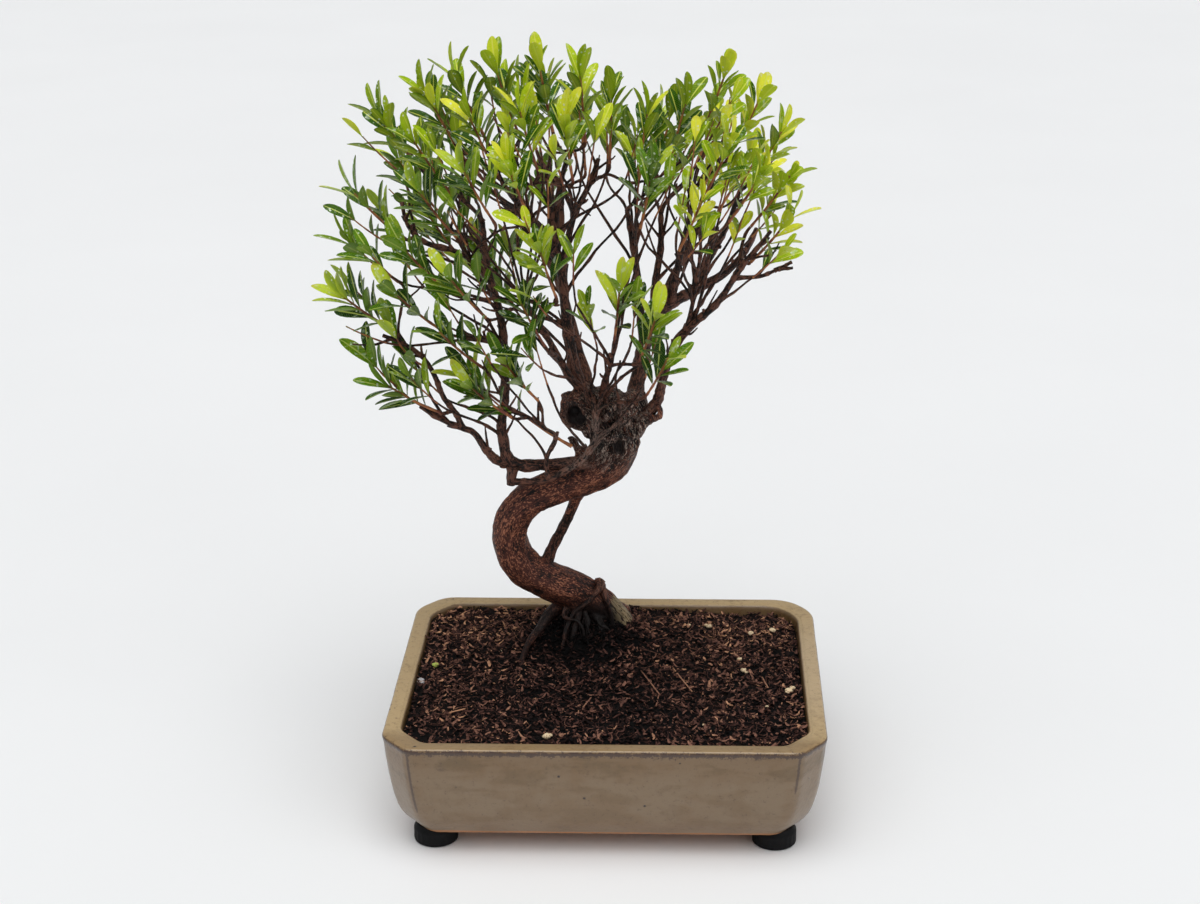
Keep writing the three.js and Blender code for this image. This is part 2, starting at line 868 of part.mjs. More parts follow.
function isClear(leaf, owner, obstacles, placed) {
  const probes = leafProbes(leaf);
  const others = obstacles.filter((stretch) => stretch.owner !== owner);
  const touchesWood = probes.some((probe) =>
    others.some((stretch) => gapTo(probe, stretch) < WOOD_CLEARANCE),
  );
  if (touchesWood) return false;
  return placed.every((other) => {
    const clearance = other.owner === owner ? OWN_LEAF_CLEARANCE : LEAF_CLEARANCE;
    return other.probes.every((theirs) => probes.every((ours) => ours.distanceTo(theirs) > clearance));
  });
}

// A point on the young stem, with two directions across it.
function stemAt(stem, share) {
  const place = share * (stem.length - 1);
  const index = Math.min(Math.floor(place), stem.length - 2);
  const [a, b] = [stem[index], stem[index + 1]];
  const tangent = a.tangent.clone().lerp(b.tangent, place - index).normalize();
  const level = new THREE.Vector3(0, 0, 1).cross(tangent).normalize();
  return {
    centre: a.centre.clone().lerp(b.centre, place - index),
    radius: THREE.MathUtils.lerp(a.radius, b.radius, place - index),
    tangent,
    level,
    other: new THREE.Vector3().crossVectors(tangent, level),
  };
}

function outwardAt({ level, other }, angle) {
  return level.clone().multiplyScalar(Math.cos(angle)).addScaledVector(other, Math.sin(angle));
}

// A leaf that leans from the stem's direction towards outward by the angle spread.
function makeLeaf({ centre, tangent, radius }, outward, spread, length, startsAtSide) {
  const lift = new THREE.Vector3(0, 0, LEAF_LIFT);
  const across = new THREE.Vector3().crossVectors(tangent, outward).normalize();
  const direction = tangent
    .clone()
    .multiplyScalar(Math.cos(spread))
    .addScaledVector(outward, Math.sin(spread))
    .add(lift)
    .normalize();
  across.addScaledVector(direction, -across.dot(direction)).normalize();
  return {
    root: centre.clone().addScaledVector(outward, startsAtSide ? radius * LEAF_ROOT_DEPTH : 0),
    direction,
    across,
    face: new THREE.Vector3().crossVectors(direction, across),
    length,
    width: (LEAF_WIDTH * length) / LEAF_LENGTH,
    curl: LEAF_CURL,
  };
}

// A square ring of a stem, turned by roll.
function stemRing(at, roll) {
  return [0, 1, 2, 3].map((corner) => {
    const outward = outwardAt(at, roll + ((corner - 0.5) * Math.PI) / 2);
    return at.centre.clone().addScaledVector(outward, at.radius);
  });
}

// Opposite leaves in pairs, each pair a quarter turn from the one below, and one leaf at the tip.
// Each pair stands on two opposite sides of a short length of the stem, where the leaves grow from.
function planSpray(stem, owner, obstacles, placed) {
  const draw = randomStream(owner + SPRAY_SEED);
  const firstRoll = between(draw, 0, Math.PI);
  const nodes = [];
  for (let pair = 0; pair < LEAF_PAIRS; pair += 1) {
    const share = (pair + 1) / LEAF_PAIRS;
    const size = between(draw, SHORTEST_LEAF, LONGEST_LEAF) * (1 - LENGTH_LOSS * share);
    const length = LEAF_LENGTH * size;
    const spread = between(draw, LEAST_SPREAD, MOST_SPREAD) - SPREAD_LOSS * share;
    const at = stemAt(stem, FIRST_PAIR + (LAST_PAIR - FIRST_PAIR) * (pair / (LEAF_PAIRS - 1)));
    const sides = pair % 2 ? [1, 3] : [0, 2];
    const choices = ROLLS.map((turn) => {
      const roll = firstRoll + turn;
      const leaves = sides.map((side) => ({
        side,
        leaf: makeLeaf(at, outwardAt(at, roll + (side * Math.PI) / 2), spread, length, true),
      }));
      return { at, roll, leaves: leaves.filter(({ leaf }) => isClear(leaf, owner, obstacles, placed)) };
    });
    const fullest = Math.max(...choices.map(({ leaves }) => leaves.length));
    const chosen = choices.find(({ leaves }) => leaves.length === fullest);
    chosen.leaves.forEach(({ leaf }) => placed.push({ owner, probes: leafProbes(leaf) }));
    nodes.push(chosen);
  }
  const { at, roll } = nodes[nodes.length - 1];
  const tip = { ...at, centre: at.centre.clone().addScaledVector(at.tangent, NODE_LENGTH / 2) };
  const leaf = makeLeaf(tip, outwardAt(tip, roll), TIP_SPREAD, LEAF_LENGTH * TIP_LENGTH, false);
  const hasTip = isClear(leaf, owner, obstacles, placed);
  if (hasTip) placed.push({ owner, probes: leafProbes(leaf) });
  return { nodes, tipLeaf: hasTip ? leaf : null };
}

// A blade grown from four root points: two rings of four and a tip. Both faces split the same way.
function growBlade(points, faces, root, leaf) {
  const half = LEAF_THICKNESS / 2;
  let ring = root;
  BLADE_RINGS.forEach(({ share, width }) => {
    const reach = (width * leaf.width) / 2;
    const first = points.length;
    points.push(
      leafPoint(leaf, share, -reach, -half),
      leafPoint(leaf, share, reach, -half),
      leafPoint(leaf, share, reach, half),
      leafPoint(leaf, share, -reach, half),
    );
    const next = [first, first + 1, first + 2, first + 3];
    const [a, b, c, d] = ring;
    const [e, f, g, h] = next;
    faces.push([a, b, f], [a, f, e], [c, d, g], [d, h, g], [b, c, g], [b, g, f], [d, a, e], [d, e, h]);
    ring = next;
  });
  const tip = points.push(leafPoint(leaf, 1)) - 1;
  ring.forEach((corner, i) => faces.push([corner, ring[(i + 1) % 4], tip]));
}

// One closed surface: the square stem, and a blade in place of each stem face that carries a leaf.
function makeSpray(stem, { nodes, tipLeaf }) {
  const start = { ...stemAt(stem, 0), radius: STEM_RADIUS };
  const rings = [stemRing(start, nodes[0].roll)];
  nodes.forEach(({ at, roll }) => {
    [-0.5, 0.5].forEach((end) => {
      const centre = at.centre.clone().addScaledVector(at.tangent, end * NODE_LENGTH);
      rings.push(stemRing({ ...at, centre }, roll));
    });
  });
  const points = rings.flat();
  const faces = [[0, 2, 1], [0, 3, 2]];
  for (let i = 0; i + 1 < rings.length; i += 1) {
    const node = i % 2 ? nodes[(i - 1) / 2] : null;
    for (let side = 0; side < 4; side += 1) {
      const [a, b] = [4 * i + side, 4 * i + ((side + 1) % 4)];
      const root = [a, b, b + 4, a + 4];
      const grown = node?.leaves.find((entry) => entry.side === side);
      if (grown) growBlade(points, faces, root, grown.leaf);
      else faces.push([a, b, b + 4], [a, b + 4, a + 4]);
    }
  }
  const last = 4 * (rings.length - 1);
  const end = [last, last + 1, last + 2, last + 3];
  if (tipLeaf) growBlade(points, faces, end, tipLeaf);
  else faces.push([end[0], end[1], end[2]], [end[0], end[2], end[3]]);
  return geometryFrom(points, faces);
}

function limbSides(samples) {
  return samples[0].radius > THICK_LIMB_RADIUS ? 6 : 4;
}

function makeTrunk(twigs) {
  const pieces = [
    tube(trunkSamples, TRUNK_SIDES, barkRidges),
    ...BURL_KNOBS.map((knob) => ellipsoid(knob, 1)),
    ...rootSamples.map((samples) => tube(samples, ROOT_SIDES)),
    ...limbSamples.map((samples) => tube(samples, limbSides(samples))),
    ...twigs.map((samples) => tube(samples, TWIG_SIDES)),
  ];
  const hollows = BURL_HOLLOWS.map((hollow) => solidOf(ellipsoid(hollow, 1)));
  return geometryOf(hollows.reduce((wood, hollow) => wood.subtract(hollow), joined(pieces)));
}

// The wood that stands in the soil, a little wider, so that the soil has a plain hole for it.
function woodHoles() {
  const trunkFoot = widened(trunkSamples.slice(0, TRUNK_RINGS_IN_SOIL), GAP);
  const lowest = trunkFoot[0].centre;
  trunkFoot[0] = { ...trunkFoot[0], centre: lowest.clone().setZ(lowest.z - GAP) };
  const holes = [tube(trunkFoot, TRUNK_SIDES, barkRidges)];
  rootSamples.forEach((samples) => holes.push(tube(widened(samples, ROOT_HOLE_GAP), ROOT_SIDES)));
  return holes.map(solidOf);
}

const FINISHES = {
  glaze: { color: 0x8d8064, roughness: 0.35, metalness: 0 },
  rubber: { color: 0x141516, roughness: 0.6, metalness: 0 },
  plastic: { color: 0x22231f, roughness: 0.7, metalness: 0 },
  soil: { color: 0x2b1a15, roughness: 0.95, metalness: 0 },
  bark: { color: 0x50352a, roughness: 0.8, metalness: 0 },
  matureLeaf: { color: 0x47752f, roughness: 0.45, metalness: 0 },
  youngLeaf: { color: 0x9dbb35, roughness: 0.42, metalness: 0 },
};

const bonsai = new THREE.Group();

function addPart(name, geometry, finish, x = 0, y = 0, z = 0) {
  const mesh = new THREE.Mesh(geometry, new THREE.MeshStandardMaterial(FINISHES[finish]));
  mesh.name = name;
  mesh.position.set(x, y, z);
  bonsai.add(mesh);
}

addPart("pot", makePot(), "glaze");
for (const [endName, sideY] of Object.entries({ front: -1, back: 1 })) {
  for (const [sideName, sideX] of Object.entries({ left: -1, right: 1 })) {
    const x = sideX * FOOT_X;
    const y = sideY * FOOT_Y + potSkew(x);
    addPart(`pot_foot_${endName}_${sideName}`, makeFoot(), "rubber", x, y);
  }
}
addPart("drain_mesh_left", makeDrainMesh(), "plastic", -DRAIN_X, 0, POT_FLOOR);
addPart("drain_mesh_right", makeDrainMesh(), "plastic", DRAIN_X, 0, POT_FLOOR);
addPart("soil", makeSoil(woodHoles()), "soil");

const sprayStarts = TUFT_CENTRES.map(sprayStart);
const twigs = growTwigs(sprayStarts);
addPart("trunk", makeTrunk(twigs), "bark");

const WOOD = -1;
const obstacles = [trunkSamples, ...limbSamples].flatMap((samples) => stretches(samples, WOOD));
twigs.forEach((samples, i) => obstacles.push(...stretches(samples, i)));
const stems = sprayStarts.map((start, i) => {
  const stem = stemSamples(start, i, obstacles);
  obstacles.push(...stretches(stem, i));
  return stem;
});
const placed = [];
stems.forEach((stem, i) => {
  const plan = planSpray(stem, i, obstacles, placed);
  const [x, , z] = TUFT_CENTRES[i];
  const isYoung = z > YOUNG_ABOVE || x > YOUNG_RIGHT_OF;
  const name = `leafy_spray_${String(i + 1).padStart(2, "0")}`;
  addPart(name, makeSpray(stem, plan), isYoung ? "youngLeaf" : "matureLeaf");
});

// The whole part is centred over the origin.
const bounds = new THREE.Box3().setFromObject(bonsai);
const middle = bounds.getCenter(new THREE.Vector3());
bonsai.position.set(-middle.x, -middle.y, 0);

export default bonsai;
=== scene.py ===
"""A chinese myrtle bonsai with its glazed pot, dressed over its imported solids.

Shapes are worked out in millimetres in the pot's own frame: its origin is on the ground under the
pot's centre, +Z is up and the pot's long front faces -Y. They are moved to the solids' frame, and
turned into metres, when a mesh is made.
"""

from __future__ import annotations

import json
import logging
import math
from dataclasses import dataclass, field, replace
from enum import Enum
from typing import Optional, Sequence, Union

import bpy  # noqa: E402
import numpy as np  # noqa: E402
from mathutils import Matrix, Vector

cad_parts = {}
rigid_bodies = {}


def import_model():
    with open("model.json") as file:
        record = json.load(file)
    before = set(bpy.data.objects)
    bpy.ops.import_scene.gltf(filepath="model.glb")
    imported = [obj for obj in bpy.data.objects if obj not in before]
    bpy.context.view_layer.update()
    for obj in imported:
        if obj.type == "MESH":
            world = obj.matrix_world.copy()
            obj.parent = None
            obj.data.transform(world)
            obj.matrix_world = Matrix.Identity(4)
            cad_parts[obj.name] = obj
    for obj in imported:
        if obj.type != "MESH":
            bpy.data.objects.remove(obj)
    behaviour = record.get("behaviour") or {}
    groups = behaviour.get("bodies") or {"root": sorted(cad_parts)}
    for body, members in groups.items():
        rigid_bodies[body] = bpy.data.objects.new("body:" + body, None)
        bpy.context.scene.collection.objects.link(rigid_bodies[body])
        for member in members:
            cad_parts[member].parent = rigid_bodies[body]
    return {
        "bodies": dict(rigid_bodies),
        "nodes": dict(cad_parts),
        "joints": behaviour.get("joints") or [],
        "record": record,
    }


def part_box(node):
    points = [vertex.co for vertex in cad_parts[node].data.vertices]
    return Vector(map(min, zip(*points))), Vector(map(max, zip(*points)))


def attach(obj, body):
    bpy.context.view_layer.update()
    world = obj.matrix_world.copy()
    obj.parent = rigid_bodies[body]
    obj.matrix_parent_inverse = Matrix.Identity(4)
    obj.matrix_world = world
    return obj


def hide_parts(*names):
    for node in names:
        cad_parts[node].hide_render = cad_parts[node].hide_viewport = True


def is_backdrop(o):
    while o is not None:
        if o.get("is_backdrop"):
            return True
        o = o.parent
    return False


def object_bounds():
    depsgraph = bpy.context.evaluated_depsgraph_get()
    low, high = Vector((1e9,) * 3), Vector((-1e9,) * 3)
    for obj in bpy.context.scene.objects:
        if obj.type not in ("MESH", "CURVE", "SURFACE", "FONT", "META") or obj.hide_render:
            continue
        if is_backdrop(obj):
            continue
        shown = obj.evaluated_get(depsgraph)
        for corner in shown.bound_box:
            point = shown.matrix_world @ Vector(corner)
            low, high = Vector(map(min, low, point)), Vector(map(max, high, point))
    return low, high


Array = np.ndarray
Triple = tuple[float, float, float]
Colour = tuple[float, float, float, float]
Material, Piece, Socket = bpy.types.Material, bpy.types.Object, bpy.types.NodeSocket

LOG = logging.getLogger("bonsai")
MM = 0.001
FULL_TURN = 2 * math.pi
UP = np.array([0.0, 0.0, 1.0])
# A distance or cost that rules a choice out.
FAR = 1e9

# How far back the pot's right end lies, as it is a little out of square.
POT_SKEW = 5.5
# How far past the solids' box the crown may reach.
CROWN_MARGIN = 1.5

# The rule that the solids' sprays and leaves follow: sizes in millimetres, rolls in radians, and
# the pairs' places as shares of the stem.
LEAF_LENGTH = 26.0
LEAF_WIDTH = 8.0
LEAF_LIFT = 0.12
LEAF_ROOT_DEPTH = 0.7
ROLLS = (0.0, 0.3, -0.3, 0.6, -0.6)
STEM_LENGTH = 34.0
STEM_RISE = 0.14
STEM_GAP = 0.3
FIRST_PAIR, LAST_PAIR, LEAF_PAIRS = 0.45, 0.94, 3
# A place on the wood costs its distance times this number less the cosine of the twig's turn.
SIDE_COST = 1.5


def paint(red: int, green: int, blue: int) -> Colour:
    """A colour as it looks on a screen, turned into the linear values of a shader.

    Args:
        red: Red, 0 to 255.
        green: Green, 0 to 255.
        blue: Blue, 0 to 255.

    Returns:
        Linear red, green and blue, and 1 for opaque.
    """
    share = np.array([red, green, blue]) / 255
    linear = np.where(share <= 0.04045, share / 12.92, ((share + 0.055) / 1.055) ** 2.4)
    return float(linear[0]), float(linear[1]), float(linear[2]), 1.0


def unit(vectors: Array) -> Array:
    """Vectors divided by their lengths."""
    return vectors / np.linalg.norm(vectors, axis=-1, keepdims=True)


def eased(share: Array) -> Array:
    """3t^2 - 2t^3, which starts and ends level."""
    return share * share * (3 - 2 * share)


def rows(text: str) -> Array:
    """A table of numbers, one row for each part between semicolons."""
    return np.array([[float(word) for word in row.split()] for row in text.split(";")])


def tables(text: str) -> tuple[Array, ...]:
    """Several tables, one for each part between slashes."""
    return tuple(rows(part) for part in text.split("/"))


def named_tables(text: str) -> dict[str, Array]:
    """Several tables between slashes, each after its name and a colon."""
    parts = (part.split(":") for part in text.split("/"))
    return {name.strip(): rows(table) for name, table in parts}


def table_field(text: str) -> Array:
    """A dataclass's field that holds a table."""
    return field(default_factory=lambda: rows(text))


# Wood. Each point of a route is x, y, z and the radius there.
TRUNK_ROUTE = rows(
    "8 70 44 14.5; 4 66 69 14; -6 62 87 12.7; -22 56 103 12.5; -38 50 112 12; -53 45 122 12;"
    "-62 41 136 12; -64 39 151 11.5; -59 38 165 11; -49 38 175 11; -35 39 181 11;"
    "-19 40 187 11.5; -4 41 196 13; 2.5 41 208 13.8; 1.5 40 221 14; -4 39 234 13; -8 38 243 9"
)
ROOT_ROUTES = tables(
    "-28 56 98 5.5; -40 54 88 4; -46 46 82 3.4; -52 34 78 2.9; -54.5 22 75 2.6; -56 12 71 2.4;"
    "  -58 4 64 2.2 /"
    "-20 60 100 7.5; -6 61 97 6.5; 1 63 88 5.5; 8 66 77 4.5; 14 67 66 4 /"
    "-24 50 97 5; -22 45 90 2.8; -24 40 82 2.2; -27 35 70 2 /"
    "-14 54 92 5; -8 48 86 2.8; -5 42 79 2.2; -3 37 67 2 /"
    "0 70 84 7; 6 79 80 5; 9 86 68 4"
)
LIMB_ROUTES = named_tables(
    "strut: -43 50 115 4.2; -41 50 127 3.9; -37 50 138 3.6; -32 50 148 3.4; -27 49 159 3.4;"
    "  -21 46 176 3.6 /"
    "low_left: -7 36 202 4.5; -21 30 201 4; -37 26 201 3.8; -55 22 202 3.8; -63 20 208 3.8;"
    "  -65 20 219 3.2; -66 20 228 3; -64 22 247 2.8; -64 25 274 2.6; -67 28 298 2.4;"
    "  -72 30 316 2.2; -75 31 333 1.9; -76 28 352 1.6 /"
    "low_left_stub: -60 22 202 3; -61 22 189 2.6 /"
    "far_left: -58 21 203 3; -69 19 206 2.6; -75 17 213 2.4; -82 14 225 2.1; -89 12 229 1.9;"
    "  -97 10 233 1.8; -106 7 239 1.6; -113 5 245 1.4 /"
    "left_riser: -89 12 229 1.8; -93 10 240 1.7; -99 8 249 1.7; -103 6 261 1.6; -106 4 269 1.5;"
    "  -111 2 277 1.4; -122 0 286 1.3; -133 -2 291 1.2 /"
    "trunk_front_twig: -61 22 191 1.6; -49 20 192 1.5; -38 19 194 1.5; -28 18 200 1.5;"
    "  -19 17 206 1.5; -13 16 214 1.5; -9 16 224 1.5; -9 17 236 1.5; -12 24 245 1.5 /"
    "front_left_twig: -38 19 194 1.4; -39 17 208 1.4; -33 12 224 1.3; -39 8 231 1.2;"
    "  -48 4 239 1.2; -59 0 246 1.1 /"
    "upper_left: -72 30 316 2; -84 27 330 1.9; -95 24 336 1.8; -106 20 340 1.7; -113 18 345 1.5;"
    "  -119 17 353 1.3; -122 18 366 1.2 /"
    "centre_left: -14 32 244 2.8; -24 28 255 2.4; -31 24 269 2.2; -38 20 284 2; -45 13 299 1.7;"
    "  -49 4 310 1.4 /"
    "centre: -10 38 236 6; -20 39 249 5.2; -24 41 263 4.9; -27 43 282 4.5; -29 45 300 4;"
    "  -31 46 318 3.5; -35 46 337 2.9; -37 45 356 2.3; -39 42 376 1.6 /"
    "centre_fork_left: -31 46 318 2.2; -40 40 338 2; -50 33 356 1.8; -56 26 376 1.4 /"
    "centre_fork_top: -35 46 337 2.2; -33 47 361 1.8; -28 46 384 1.4 /"
    "centre_fork_right: -31 46 318 2.2; -24 54 348 2; -15 57 367 1.7; -9 56 384 1.4 /"
    "centre_fork_front: -35 46 337 2.1; -46 24 355 1.8; -54 4 370 1.5; -58 -14 382 1.3 /"
    "back_left: -14 44 238 4.5; -21 58 262 3.4; -29 76 284 3; -38 90 306 2.6; -54 100 325 2.1;"
    "  -70 102 345 1.6 /"
    "back_centre: -38 90 306 2.2; -34 99 330 1.8; -34 103 352 1.5 /"
    "rear_right: 5 43 214 7.5; 12 50 230 5.5; 16 60 250 4.8; 19 67 265 4.6; 24 73 278 4.4;"
    "  32 77 287 4; 43 80 293 3.6; 56 82 300 3.1; 69 83 308 2.6; 80 80 322 2; 86 72 338 1.6 /"
    "rear_riser_1: 19 67 265 3; 16 70 287 2.6; 14 72 308 2.3; 11 70 329 1.9; 8 64 350 1.5 /"
    "rear_riser_2: 25 73 279 2.8; 25 76 301 2.4; 28 79 323 2; 28 82 345 1.5 /"
    "rear_riser_3: 35 78 289 2.6; 38 72 310 2.3; 42 61 333 1.9; 46 48 354 1.5; 48 36 370 1.3 /"
    "rear_riser_4: 50 81 296 2.5; 56 70 316 2.2; 64 56 335 1.8; 70 42 354 1.5; 74 32 370 1.3 /"
    "back_right: 24 73 278 3; 33 92 296 2.6; 45 105 317 2.1; 54 110 338 1.5 /"
    "right: 12 38 220 6; 26 33 238 3.8; 30 29 252 3; 34 26 269 2.9; 39 24 282 2.8; 47 21 292 2.7;"
    "  61 17 306 2.4; 72 13 324 2; 79 10 336 1.7; 86 8 345 1.5; 92 6 354 1.3 /"
    "far_right: 72 13 324 1.4; 87 10 326 1.2; 99 8 332 1.1 /"
    "right_riser: 45 22 290 1.6; 48 16 308 1.4; 50 4 326 1.3; 52 -8 344 1.1 /"
    "front: -6 32 240 2.8; -3 16 260 2; 0 4 272 1.5"
)

# Leafy shoots low down at the left, each with the number of the spray that it is part of.
LOW_SHOOTS = (
    (
        1,
        rows(
            "-99 9 235 1.2; -107.7 8 241.6 1; -120.1 4 250.4 0.9; -127.8 1 260.1 0.8;"
            "-135.5 -1 268.1 0.6; -143 -3 281 0.4"
        ),
    ),
    (
        12,
        rows(
            "-24 21 215 1.3; -34.3 18 222.5 1.2; -53 12 238.4 1.1; -65.6 6 247.9 1;"
            "-73.4 1 256.5 0.8; -82 -5 269 0.5"
        ),
    ),
    (1, rows("-106 4 269 0.9; -112 0 273 0.8; -121 -4 283 0.7; -127 -7 297 0.4")),
)

# Centres of the leaf tufts, one spray to each.
TUFT_CENTRES = rows(
    "-154 -5 310; -130 -5 256; -151 5 340; -148 10 368; -135 30 409; -116 -20 343;"
    "-123 -16 316; -106 -28 379; -110 -10 403; -106 15 426; -90 25 434; -97 -25 296;"
    "-80 -22 262; -61 -12 274; -89 -38 332; -79 -40 393; -78 -12 417; -111 60 342;"
    "-130 75 372; -100 80 398; -81 56 322; -65 15 438; -41 20 440; -18 25 434; -49 -27 424;"
    "-25 -20 417; -54 -52 400; -1 44 418; -58 90 414; -22 108 398; -48 118 358; -37 -48 350;"
    "-49 -34 316; 6 -18 320; 27 -28 307; 34 -32 284; 20 36 410; 33 62 404; 42 18 420;"
    "64 20 436; 84 25 421; 98 38 400; 103 30 376; 104 12 357; 67 -30 408; 86 -10 388;"
    "52 -30 376; 24 -12 388; 27 102 394; 60 108 396; 82 104 372"
)
# Places round which the leaves are paler: x, y, z and reach.
PALE_PLACES = rows("-37 -48 356 26; 8 -18 326 18; -158 -5 314 12; 30 -30 318 14; -20 -20 425 30")
# Tufts whose centre is higher than the one, or further right than the other, have young leaves.
YOUNG_ABOVE = 398
YOUNG_RIGHT_OF = 45


class Draws:
    """A stream of random numbers from 0 to 1, the same one that the solids were drawn with."""

    def __init__(self, seed: int) -> None:
        """Starts the stream of a seed, and leaves out its first five numbers.

        Args:
            seed: The seed.
        """
        self.state = (seed * 7919 + 17) % 2**32
        for _ in range(5):
            self.draw()

    def draw(self) -> float:
        """The next number, from 0 to 1."""
        self.state = (self.state * 1664525 + 1013904223) % 2**32
        return self.state / 2**32

    def between(self, low: float, high: float) -> float:
        """The next number, from low to high."""
        return low + (high - low) * self.draw()


@dataclass(frozen=True)
class Relief:
    """Smooth random bumps from -1 to 1: a lattice of random numbers, blended in between.

    Along each axis the blend between two lattice points is 3t^2 - 2t^3.
    """

    seed: int
    side: int = 32

    def at(self, places: Array) -> Array:
        """The height at places given in lattice steps.

        Args:
            places: Points, (..., 3).

        Returns:
            Heights, (...).
        """
        table = np.random.default_rng(self.seed).uniform(-1, 1, (self.side,) * 3)
        corner = np.floor(places).astype(int)
        share = eased(places - corner)
        low, high = corner % self.side, (corner + 1) % self.side
        total = np.zeros(places.shape[:-1])
        for x_end in (0, 1):
            for y_end in (0, 1):
                for z_end in (0, 1):
                    ends = np.array([x_end, y_end, z_end])
                    index = np.where(ends, high, low)
                    weight = np.prod(np.where(ends, share, 1 - share), axis=-1)
                    total += weight * table[index[..., 0], index[..., 1], index[..., 2]]
        return total

    def layered(self, places: Array, sizes: Sequence[float], heights: Sequence[float]) -> Array:
        """A sum of bumps of several sizes, each with its own height."""
        return sum(high * self.at(places / size + 7.3 * size) for size, high in zip(sizes, heights))


@dataclass(frozen=True)
class Line:
    """A line through wood, in millimetres: centres (n, 3), radii (n) and directions (n, 3)."""

    centres: Array
    radii: Array
    tangents: Array

    def cut(self, first: int, last: Optional[int]) -> "Line":
        """The stretch from one place in the line up to another."""
        return Line(self.centres[first:last], self.radii[first:last], self.tangents[first:last])

    def scaled(self, by: Union[Array, float]) -> "Line":
        """The line with its radii multiplied."""
        return Line(self.centres, self.radii * by, self.tangents)

    def along(self) -> Array:
        """The distance from the line's start to each centre."""
        steps = np.linalg.norm(np.diff(self.centres, axis=0), axis=1)
        return np.concatenate([[0.0], np.cumsum(steps)])

    def frame(self) -> tuple[Array, Array]:
        """Two directions across the line at each centre.

        The first is the axis that is most square to the whole line, with its part along the line
        taken off. The second is the direction crossed with the first.

        Returns:
            The two directions, each (n, 3).
        """
        axis = np.eye(3)[np.argmin(np.abs(self.tangents).max(axis=0))]
        across = unit(axis - self.tangents * (self.tangents @ axis)[:, None])
        return across, np.cross(self.tangents, across)


def joined_lines(lines: Sequence[Line]) -> Line:
    """Several lines as one list of places.

    Args:
        lines: The lines, in order.

    Returns:
        One line that holds all their places.
    """
    return Line(
        np.concatenate([line.centres for line in lines]),
        np.concatenate([line.radii for line in lines]),
        np.concatenate([line.tangents for line in lines]),
    )


def line_through(centres: Array, radii: Array) -> Line:
    """A line whose direction at a centre is that from the one before it to the one after it."""
    ends = np.vstack([centres[:1], centres, centres[-1:]])
    return Line(centres, radii, unit(ends[2:] - ends[:-2]))


def sampled_route(route: Array, steps: int) -> Line:
    """A smooth line through a route's points.

    Between two points it is the cubic whose slope at each of them is half the way between that
    point's two neighbours. The radius changes evenly.

    Args:
        route: Points as x, y, z and radius, (n, 4).
        steps: Samples between two points.

    Returns:
        The line.
    """
    points = route[:, :3]
    padded = np.vstack([2 * points[0] - points[1], points, 2 * points[-1] - points[-2]])
    index = np.arange((len(route) - 1) * steps + 1)
    span = np.minimum(index // steps, len(route) - 2)
    share = (index / steps - span)[:, None]
    before, start, end, after = (padded[span + k] for k in range(4))
    leave, reach = (end - before) / 2, (after - start) / 2
    centres = (
        start
        + leave * share
        + (3 * (end - start) - 2 * leave - reach) * share**2
        + (2 * (start - end) + leave + reach) * share**3
    )
    radii = route[span, 3] + (route[span + 1, 3] - route[span, 3]) * share[:, 0]
    return line_through(centres, radii)


def bent_line(corners: Array, radii: tuple[float, float], steps: int) -> Line:
    """A line on the cubic (1-t)^3 a + 3(1-t)^2 t b + 3(1-t) t^2 c + t^3 d.

    Args:
        corners: The points a, b, c and d, (4, 3).
        radii: The radius at each end, with an even change between them.
        steps: How many stretches the line has.

    Returns:
        The line.
    """
    t = np.linspace(0, 1, steps + 1)[:, None]
    a, b, c, d = corners
    centres = (1 - t) ** 3 * a + 3 * (1 - t) ** 2 * t * b + 3 * (1 - t) * t**2 * c + t**3 * d
    slopes = (1 - t) ** 2 * (b - a) + 2 * (1 - t) * t * (c - b) + t**2 * (d - c)
    return Line(centres, radii[0] + (radii[1] - radii[0]) * t[:, 0], unit(slopes))


@dataclass(frozen=True)
class Start:
    """Where a spray starts, and the direction in which it points."""

    base: Array
    direction: Array


@dataclass(frozen=True)
class Place:
    """A place on a young stem: its centre, radius, direction, and two directions across it."""

    centre: Array
    radius: float
    tangent: Array
    level: Array
    other: Array

    def outward(self, angle: float) -> Array:
        """The direction across the stem at an angle round it."""
        return self.level * math.cos(angle) + self.other * math.sin(angle)


def place_on(line: Line, share: float) -> Place:
    """The place at a share of a line's stretches.

    Args:
        line: The line.
        share: How far along it the place is, 0 to 1.

    Returns:
        The place.
    """
    spot = share * (len(line.centres) - 1)
    index = min(int(spot), len(line.centres) - 2)
    rest = spot - index
    tangent = unit(line.tangents[index] * (1 - rest) + line.tangents[index + 1] * rest)
    level = unit(np.cross(UP, tangent))
    centre = line.centres[index] * (1 - rest) + line.centres[index + 1] * rest
    radius = line.radii[index] * (1 - rest) + line.radii[index + 1] * rest
    return Place(centre, float(radius), tangent, level, np.cross(tangent, level))


@dataclass(frozen=True)
class Leaf:
    """One leaf: where its rib starts, its own three directions, its sizes and its looks."""

    root: Array
    direction: Array
    across: Array
    face: Array
    length: float
    width: float
    curl: float = 0.1
    twist: float = 0.0
    sway: float = 0.0
    tone: float = 0.5

    def probes(self) -> Array:
        """Eight points of the leaf, on its rib and its edges, (8, 3).

        Returns:
            The points.
        """
        share = np.array([0.25, 0.5, 0.75, 1, 0.5, 0.5, 0.75, 0.75])[:, None]
        side = np.array([0, 0, 0, 0, 1, -1, 1, -1])[:, None] * self.width / 2
        drop = -self.curl * self.length * share**2
        along = self.direction * self.length * share
        return self.root + along + self.across * side + self.face * drop


@dataclass(frozen=True)
class Room:
    """The free space in millimetres that a leaf needs to wood, to other sprays and to its own."""

    wood: float
    others: float
    own: float


